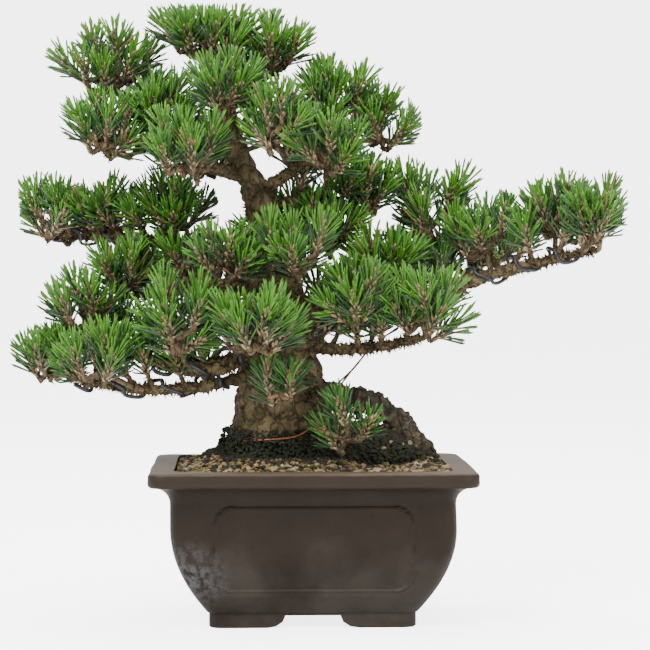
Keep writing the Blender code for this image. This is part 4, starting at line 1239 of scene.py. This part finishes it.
def tuft_sites(mass, count, seed):
    """Base and direction of each tuft, spread over the upper part of the mass by the golden angle."""
    rng = random.Random(seed)
    first = rng.uniform(0.0, math.tau)
    sites = []
    for i in range(count):
        lift = TUFT_LOWEST + TUFT_SPREAD * (i + 0.5) / count
        turn = first + GOLDEN_ANGLE * i
        flat = math.sqrt(max(1.0 - lift * lift, 0.0))
        out = Vector((flat * math.cos(turn), flat * math.sin(turn), lift))
        depth = rng.uniform(*TUFT_DEPTHS)
        scatter = Vector((rng.uniform(-TUFT_SCATTER, TUFT_SCATTER), rng.uniform(-TUFT_SCATTER, TUFT_SCATTER),
                          rng.uniform(*TUFT_SCATTER_UP)))
        base = Vector(mass.centre) + Vector(o * r * depth for o, r in zip(out, mass.radii)) + scatter
        tilt = Vector((rng.uniform(-TUFT_TILT, TUFT_TILT), rng.uniform(-TUFT_TILT, TUFT_TILT),
                       rng.uniform(*TUFT_RISE)))
        sites.append((inside_box(base), (out * TUFT_OUTWARD + tilt).normalized()))
    return sites


def inside_box(base):
    """A tuft's base moved in, so that its shoot and bud stay within the CAD box."""
    return Vector(min(max(place, low / MM + room), high / MM - room)
                  for place, low, high, room in zip(base, *CAD_BOX, SHOOT_ROOM))


def stem_path(mass, limbs, hub):
    """The stem runs on from its limb's tip, or leaves its side, and bends to the hub."""
    point, along, radius = limb_at(limbs[mass.limb], mass.start)
    if mass.start >= 1.0:
        return [point - along * STEM_SINK, point + along * STRAIGHT_START, hub], radius
    return [point, point + (hub - point).normalized() * radius, hub], radius


def twig_route(start, end, rng):
    """Points of a twig that wanders between its ends."""
    length = (end - start).length
    drift = Vector((rng.uniform(-1, 1), rng.uniform(-1, 1), rng.uniform(-0.6, 0.2))) * length * TWIG_BEND
    points = []
    for step in range(TWIG_STEPS + 1):
        t = step / TWIG_STEPS
        jitter = Vector((rng.uniform(-1, 1), rng.uniform(-1, 1), rng.uniform(-1, 1))) * TWIG_JITTER
        if step in (0, TWIG_STEPS):
            jitter.zero()
        points.append(start.lerp(end, t) + drift * (4 * t * (1 - t)) + jitter)
    return points


def stations_shape(stations, size, base, aim, rough, rng):
    """A rough tube along a shoot from its table of shares and radii."""
    points = [base + aim * (CANDLE_LENGTH * share) for share, _ in stations]
    return tube_shape(points, [size * radius for _, radius in stations], TWIG_SIDES, rough, rng)


def old_scales(route, draw):
    """Short dry sheaths and stubs that stick out all along a twig, as arrays."""
    points = np.array([tuple(point) for point in route])
    place = draw.uniform(0.0, len(points) - 1.001, SCALES_A_TWIG)
    low = place.astype(int)
    roots = points[low] + (points[low + 1] - points[low]) * (place - low)[:, None]
    forward = points[-1] - points[0]
    forward /= np.linalg.norm(forward)
    ways = unit(draw.normal(0.0, 1.0, (SCALES_A_TWIG, 3)) + forward * SCALE_FORWARD)
    return spike_mesh(roots, ways, draw.uniform(*SCALE_LENGTHS, SCALES_A_TWIG), SCALE_RADIUS)


def bough_fuzz(limbs, draw):
    """Old sheaths and stubs that cling all along the outer part of every bough."""
    made = []
    for bough in BOUGHS:
        if bough.name == "surface_root":
            continue
        line = limbs[bough.name]
        count = round(limb_length(line) * FUZZ_A_MM)
        shares = FUZZ_START + FUZZ_SPAN * draw.uniform(0.0, 1.0, count) ** FUZZ_OUTWARD
        places = [limb_at(line, share) for share in shares]
        centres = np.array([tuple(place[0]) for place in places])
        reach = np.array([place[2] for place in places]) * FUZZ_SINK
        ways = unit(draw.normal(0.0, 1.0, (count, 3)))
        lengths = draw.uniform(*FUZZ_LENGTHS, count)
        made.append(spike_mesh(centres + ways * reach[:, None], ways, lengths, SCALE_RADIUS))
    return made


def tint_of(share, fresh, chance):
    """Which green a needle takes: fresh at the top of its tuft, deeper and greyer below."""
    if chance < DRY_CHANCE:
        return "needles_dry"
    if share < FOOT_SHARE:
        return "needles_grey" if chance < FOOT_GREY_CHANCE else "needles_deep"
    if share < MIDDLE_SHARE:
        return "needles_deep" if chance < MIDDLE_DEEP_CHANCE else "needles_green"
    return "needles_fresh" if chance < fresh else "needles_green"


class Sprays:
    """All tufts so far: their twigs and buds, and their needles by tint, as arrays."""

    def __init__(self, limbs):
        self.limbs = limbs
        self.draw = np.random.default_rng(NEEDLE_SEED)
        self.needles = {name: [] for name in NEEDLE_TINTS}
        self.scales = []
        self.sheaths = []
        self.twigs = Pile()
        self.buds = Pile()

    def grow(self, parent, base, aim, mass, freshness, rng):
        """One twig with its shoot, bud, old scales and needles, inside its mass's reach."""
        route = twig_route(parent, base - aim * CANDLE_FOOT, rng)
        thick = [TWIG_RADIUS * (TWIG_SWELL - TWIG_TAPER * i) for i in range(len(route))]
        self.twigs.add(*tube_shape(route, thick, TWIG_SIDES, TWIG_ROUGH, rng))
        self.scales.append(old_scales(route + [base + aim * 2.0], self.draw))
        self.twigs.add(*stations_shape(CANDLE, 1.0, base, aim, CANDLE_ROUGH, rng))
        self.buds.add(*stations_shape(BUD, rng.uniform(*BUD_SIZES), base, aim, BUD_ROUGH, rng))
        fresh = FRESH_LEVEL + FRESH_UPWARD * aim.z + rng.uniform(*FRESH_SPREAD)
        fresh = freshness * min(max(fresh, FRESH_LEAST), FRESH_MOST)
        size = rng.uniform(*TUFT_SIZES)
        roots, ways, lengths, shares, sheath = needle_arrays(base, aim, mass, size, self.draw)
        self.sheaths.append(sheath)
        chances = self.draw.uniform(0.0, 1.0, len(roots))
        names = np.array([tint_of(share, fresh, chance) for share, chance in zip(shares, chances)])
        for name in NEEDLE_TINTS:
            pick = names == name
            if pick.any():
                self.needles[name].append(needle_mesh(roots[pick], ways[pick], lengths[pick], self.draw))

    def grow_mass(self, number, mass):
        """A mass: its stem, and twigs that branch from the stem's end and from each other."""
        rng = random.Random(MASS_SEED + number)
        hub = Vector(mass.centre) - UP * (mass.radii[2] * HUB_DROP)
        path, limb_radius = stem_path(mass, self.limbs, hub)
        thick = min(STEM_RADIUS, max(limb_radius, STEM_LEAST))
        points = [Vector(row) for row in smooth_rows([tuple(point) for point in path], STEM_STEPS)]
        radii = [thick * (1.0 - STEM_TAPER * i) for i in range(len(points))]
        self.twigs.add(*tube_shape(points, radii, STEM_SIDES, STEM_ROUGH, rng))
        sparse = mass.name in SPARSE_MASSES
        count = round(mass.tufts * (SPARSE_FACTOR if sparse else TUFT_FACTOR))
        freshness = SPARSE_FRESHNESS if sparse else 1.0
        sites = tuft_sites(mass, count, SITE_SEED + number)
        joints = [hub]
        for base, aim in sorted(sites, key=lambda site: (site[0] - hub).length):
            parent = min(joints, key=lambda joint: (joint - base).length
                         + FORK_NEARNESS * (joint - hub).length)
            self.grow(parent, base, aim, mass, freshness, rng)
            joints.append(parent.lerp(base - aim * CANDLE_FOOT, FORK_SHARE))

    def grow_shoots(self):
        """Single tufts on short spurs along the outer part of the boughs, between the masses."""
        rng = random.Random(SHOOT_TWIG_SEED)
        for point, base, aim in side_shoots(self.limbs):
            reach = Mass("shoot", "", 0.0, tuple(base), (SHOOT_REACH,) * 3, 1)
            self.grow(point, base, aim, reach, SHOOT_FRESHNESS, rng)


def side_shoots(limbs):
    """Root, base and direction of the shoots along the boughs."""
    rng = random.Random(SHOOT_SEED)
    shoots = []
    for bough in BOUGHS:
        if bough.name in NOT_BARE:
            continue
        line = limbs[bough.name]
        count = round(limb_length(line) / SHOOT_SPACING)
        for i in range(count):
            share = SHOOT_START + SHOOT_SPAN * (i + rng.uniform(*SHOOT_JITTER)) / count
            point, along, radius = limb_at(line, share)
            side = along.cross(UP).normalized() * rng.choice((-1.0, 1.0)) * rng.uniform(*SHOOT_ASIDE)
            aim = (UP * rng.uniform(*SHOOT_RISE) + side + along * rng.uniform(*SHOOT_FORWARD)).normalized()
            reach = radius + CANDLE_FOOT + rng.uniform(*SHOOT_CLEAR)
            shoots.append((point, point + aim * reach, aim))
    return shoots


def batches(parts):
    """The arrays in groups, none with more triangles than a piece may have."""
    group = []
    total = 0
    for part in parts:
        if total + len(part[1]) > PIECE_LIMIT:
            yield group
            group = []
            total = 0
        group.append(part)
        total += len(part[1])
    yield group


def make_foliage(limbs, greens, sheath, twig, bud):
    """All masses and shoots: stems, twigs, candles, buds and sprays of needles, each kind joined."""
    spray = Sprays(limbs)
    for number, mass in enumerate(MASSES):
        spray.grow_mass(number, mass)
    spray.grow_shoots()
    for name, parts in spray.needles.items():
        for number, batch in enumerate(batches(parts), 1):
            array_piece(f"{name}_{number}", batch, greens[name], MASS_NODES)
    mesh_piece("twigs", spray.twigs.verts, spray.twigs.faces, twig, MASS_NODES)
    array_piece("old_scales", spray.scales + bough_fuzz(limbs, spray.draw), twig)
    half = len(spray.sheaths) // 2
    array_piece("pale_sheaths_1", spray.sheaths[:half], sheath)
    array_piece("pale_sheaths_2", spray.sheaths[half:], sheath)
    mesh_piece("buds", spray.buds.verts, spray.buds.faces, bud)


# Soil


def mound_height(x, y):
    """Top of the soil without its heaps."""
    away = (Vector((x, y)) - MOUND_CENTRE).length
    rise = min(max((MOUND_FOOT - away) / (MOUND_FOOT - MOUND_FLAT), 0.0), 1.0)
    return SOIL_EDGE + (GROUND - GAP - SOIL_EDGE) * rise


def ground_height(x, y):
    """Top of the soil with its mound and its heaps."""
    height = mound_height(x, y)
    for centre, half in HEAPS:
        spread = ((x - centre.x) / half.x) ** 2 + ((y - centre.y) / half.y) ** 2
        if spread < 1.0:
            height = max(height, centre.z + half.z * math.sqrt(1.0 - spread))
    return height


def grain_shapes():
    """A few angular pebbles of unit size to draw from."""
    shapes = []
    for seed in range(GRAIN_KINDS):
        rng = random.Random(seed)
        bm = bmesh.new()
        bmesh.ops.create_icosphere(bm, subdivisions=1, radius=1.0)
        stretch = [rng.uniform(*limits) for limits in GRAIN_STRETCHES]
        verts = []
        for vert in bm.verts:
            swell = rng.uniform(*GRAIN_SWELL)
            verts.append([c * s * swell for c, s in zip(vert.co, stretch)])
        shapes.append((np.array(verts), np.array([[v.index for v in face.verts] for face in bm.faces])))
        bm.free()
    return shapes


def make_grains(materials):
    """Thousands of grains on the soil: sandy near the walls, dark and mossy round the trunk."""
    rng = random.Random(GRAIN_SEED)
    shapes = grain_shapes()
    chunks = {name: [] for name in GRAIN_TINTS}
    names = list(GRAIN_TINTS)
    weights = [weight for _, weight in GRAIN_TINTS.values()]
    for _ in range(GRAIN_COUNT):
        x = rng.uniform(-SOIL_HALF_LENGTH, SOIL_HALF_LENGTH)
        y = rng.uniform(-SOIL_HALF_DEPTH, SOIL_HALF_DEPTH)
        away = (Vector((x, y)) - TRUNK_FOOT).length
        z = ground_height(x, y)
        if away < TRUNK_CLEAR:
            continue
        darkness = HEAP_DARKNESS if z > GROUND + 1.0 else max(0.0, 1.0 - (away - DARK_FROM) / DARK_FADE)
        name = "grains_dark" if rng.random() < darkness else rng.choices(names, weights)[0]
        size = rng.uniform(*GRAIN_SIZES) * (BIG_GRAIN if rng.random() < BIG_GRAIN_CHANCE else 1.0)
        verts, faces = rng.choice(shapes)
        turn = np.array(Matrix.Rotation(rng.uniform(0, math.tau), 3, "Z")
                        @ Matrix.Rotation(rng.uniform(-GRAIN_TILT, GRAIN_TILT), 3, "X"))
        chunks[name].append((verts @ turn.T * size + np.array((x, y, z + rng.uniform(*GRAIN_LIFT))), faces))
    for name in names:
        array_piece(name, chunks[name], materials[name]).data.shade_flat()


def make_moss(material):
    """Dark humus and moss that creeps up the trunk's foot and over the heaps."""
    rng = random.Random(MOSS_SEED)
    shapes = grain_shapes()
    chunks = []
    for _ in range(FOOT_BITS):
        turn = rng.uniform(0.0, math.tau)
        lift = rng.random() ** 2 * FOOT_CREEP
        z = GROUND + lift
        reach = (FOOT_RADIUS - lift * FOOT_NARROWS) * flare(turn, z) + rng.uniform(-0.5, 0.9)
        spot = (TRUNK_FOOT.x + reach * math.cos(turn), TRUNK_FOOT.y + reach * math.sin(turn), z)
        verts, faces = rng.choice(shapes)
        spin = np.array(Matrix.Rotation(rng.uniform(0, math.tau), 3, "Y"))
        chunks.append((verts @ spin.T * rng.uniform(*FOOT_BIT_SIZES) + np.array(spot), faces))
    for _ in range(HEAP_BITS):
        centre, half = rng.choices(HEAPS, HEAP_WEIGHTS)[0]
        out = Vector((rng.gauss(0.0, 1.0), rng.gauss(0.0, 1.0), rng.gauss(0.25, 0.6))).normalized()
        spot = centre + Vector(o * h for o, h in zip(out, half))
        if spot.z < mound_height(spot.x, spot.y) - BURIED or spot.x > SOIL_HALF_LENGTH:
            continue
        verts, faces = rng.choice(shapes)
        chunks.append((verts * rng.uniform(*HEAP_BIT_SIZES) + np.array(spot), faces))
    array_piece("moss_and_humus", chunks, material)


# Wires


def make_wire(name, points, radius, material):
    """A bent wire through points, smooth and with round ends."""
    route = [Vector(row) for row in smooth_rows([tuple(point) for point in points], WIRE_STEPS)]
    verts, faces = tube_shape(route, [radius] * len(route), WIRE_SIDES)
    mesh_piece(name, verts, faces, material)


def coil_round(limb, first, last, turns, clearance):
    """Points of a wire wound loosely and unevenly round a limb between two shares of its length."""
    points = []
    steps = turns * COIL_STEPS
    for step in range(steps + 1):
        share = first + (last - first) * step / steps + COIL_SLIP * math.sin(COIL_SLIP_PACE * step)
        centre, along, radius = limb_at(limb, share)
        side = along.orthogonal().normalized()
        across = along.cross(side)
        turn = math.tau * turns * step / steps
        swell = math.sin(COIL_SWELL_PACE * step + first * COIL_SWELL_START)
        slack = clearance * (COIL_SLACK + COIL_SWELL * swell)
        points.append(centre + (side * math.cos(turn) + across * math.sin(turn)) * (radius + slack))
    return points


def make_wires(limbs, dark, copper):
    """Training wires on the boughs, two wires round the trunk's foot and a twisted guy wire."""
    for name, bough, first, last, turns, slack, radius in COILS:
        make_wire(name, coil_round(limbs[bough], first, last, turns, slack), radius, dark)
    make_wire("guy_wire_round_trunk", FOOT_ROUTE, FOOT_WIRE_RADIUS, dark)
    make_wire("copper_wire", COPPER_ROUTE, COPPER_RADIUS, copper)
    make_wire("guy_wire", GUY_ROUTE, GUY_RADIUS, copper)
    back = [(x + GUY_TWIST * math.sin(GUY_PACE * i), y, z + GUY_RISE)
            for i, (x, y, z) in enumerate(GUY_ROUTE)]
    make_wire("guy_wire_return", back, GUY_RADIUS, copper)


# Stage


def make_floor():
    """A white floor that the camera sees as bright as the backdrop."""
    mesh = bpy.data.meshes.new("floor")
    corners = [(x * FLOOR_HALF, y * FLOOR_HALF, 0.0) for x, y in ((-1, -1), (1, -1), (1, 1), (-1, 1))]
    mesh.from_pydata(corners, [], [(0, 1, 2, 3)])
    floor = new_object("floor", mesh)
    material, tree, shader = new_material("floor_white", FLOOR_WHITE, 0.9, 0.2)
    shader["Emission Strength"].default_value = FLOOR_GLOW
    rays = tree.nodes.new("ShaderNodeLightPath")
    feed(tree, shader["Emission Color"], rays.outputs["Is Camera Ray"])
    mesh.materials.append(material)


def make_backdrop():
    """A white surround that lights the plant softly and looks brighter to the camera."""
    world = bpy.data.worlds.new("studio")
    bpy.context.scene.world = world
    world.use_nodes = True
    tree = world.node_tree
    surround = tree.nodes["Background"].inputs
    surround["Color"].default_value = (1.0, 1.0, 1.0, 1.0)
    rays = tree.nodes.new("ShaderNodeLightPath")
    glow = calc(tree, "MULTIPLY_ADD", rays.outputs["Is Camera Ray"], BACKDROP_GLOW - SOFT_LIGHT, SOFT_LIGHT)
    feed(tree, surround["Strength"], glow)


def make_lamps():
    for name, place, energy, size in LAMPS:
        light = bpy.data.lights.new(name, "AREA")
        light.energy = energy
        light.size = size
        lamp = new_object(name, light)
        lamp.location = place
        lamp.rotation_euler = (LAMP_AIM - Vector(place)).to_track_quat("-Z", "Y").to_euler()


def make_camera():
    lens = bpy.data.cameras.new("photo_camera")
    lens.lens = CAMERA_LENS
    lens.sensor_width = SENSOR_WIDTH
    lens.clip_end = VIEW_DEPTH
    camera = new_object("photo_camera", lens)
    camera.location = Vector(CAMERA_PLACE) * MM
    camera.rotation_euler = (math.radians(90.0 - CAMERA_DOWN), 0.0, math.radians(-CAMERA_RIGHT))
    bpy.context.scene.camera = camera


def main():
    noise.seed_set(NOISE_SEED)
    mottle = mottle_group()
    height_mask = height_mask_group()
    groups = (mottle, height_mask, cracks_group())
    barks = {name: bark_material(groups, name) for name in BARKS}
    limbs = all_limbs()
    make_camera()
    make_floor()
    make_backdrop()
    make_lamps()
    make_pot(clay_material(mottle, height_mask))
    make_trunk(barks["bark"])
    for bough in BOUGHS:
        make_bough(bough, limbs, barks["root_bark" if bough.name == "surface_root" else "bark"])
    make_flakes(limbs, barks["light_bark"], barks["dark_bark"])
    greens = {name: mottled_material(mottle, name, colour, NEEDLE_FINISH)
              for name, colour in NEEDLE_TINTS.items()}
    sheath = mottled_material(mottle, "needle_sheaths", SHEATH_COLOUR, NEEDLE_FINISH)
    bud = mottled_material(mottle, "bud_scales", BUD_COLOUR, GRAIN_FINISH)
    make_foliage(limbs, greens, sheath, barks["twig_bark"], bud)
    humus = mottled_material(mottle, "humus", HUMUS, GRAIN_FINISH)
    for slot in frame["nodes"]["soil"].material_slots:
        slot.material = humus
    make_grains({name: mottled_material(mottle, name, colour, GRAIN_FINISH)
                 for name, (colour, _) in GRAIN_TINTS.items()})
    make_moss(mottled_material(mottle, "dark_moss", DARK_MOSS, GRAIN_FINISH))
    dark = mottled_material(mottle, "dark_wire", DARK_WIRE, DARK_WIRE_FINISH)
    copper = mottled_material(mottle, "aged_copper", AGED_COPPER, COPPER_FINISH)
    make_wires(limbs, dark, copper)


main()
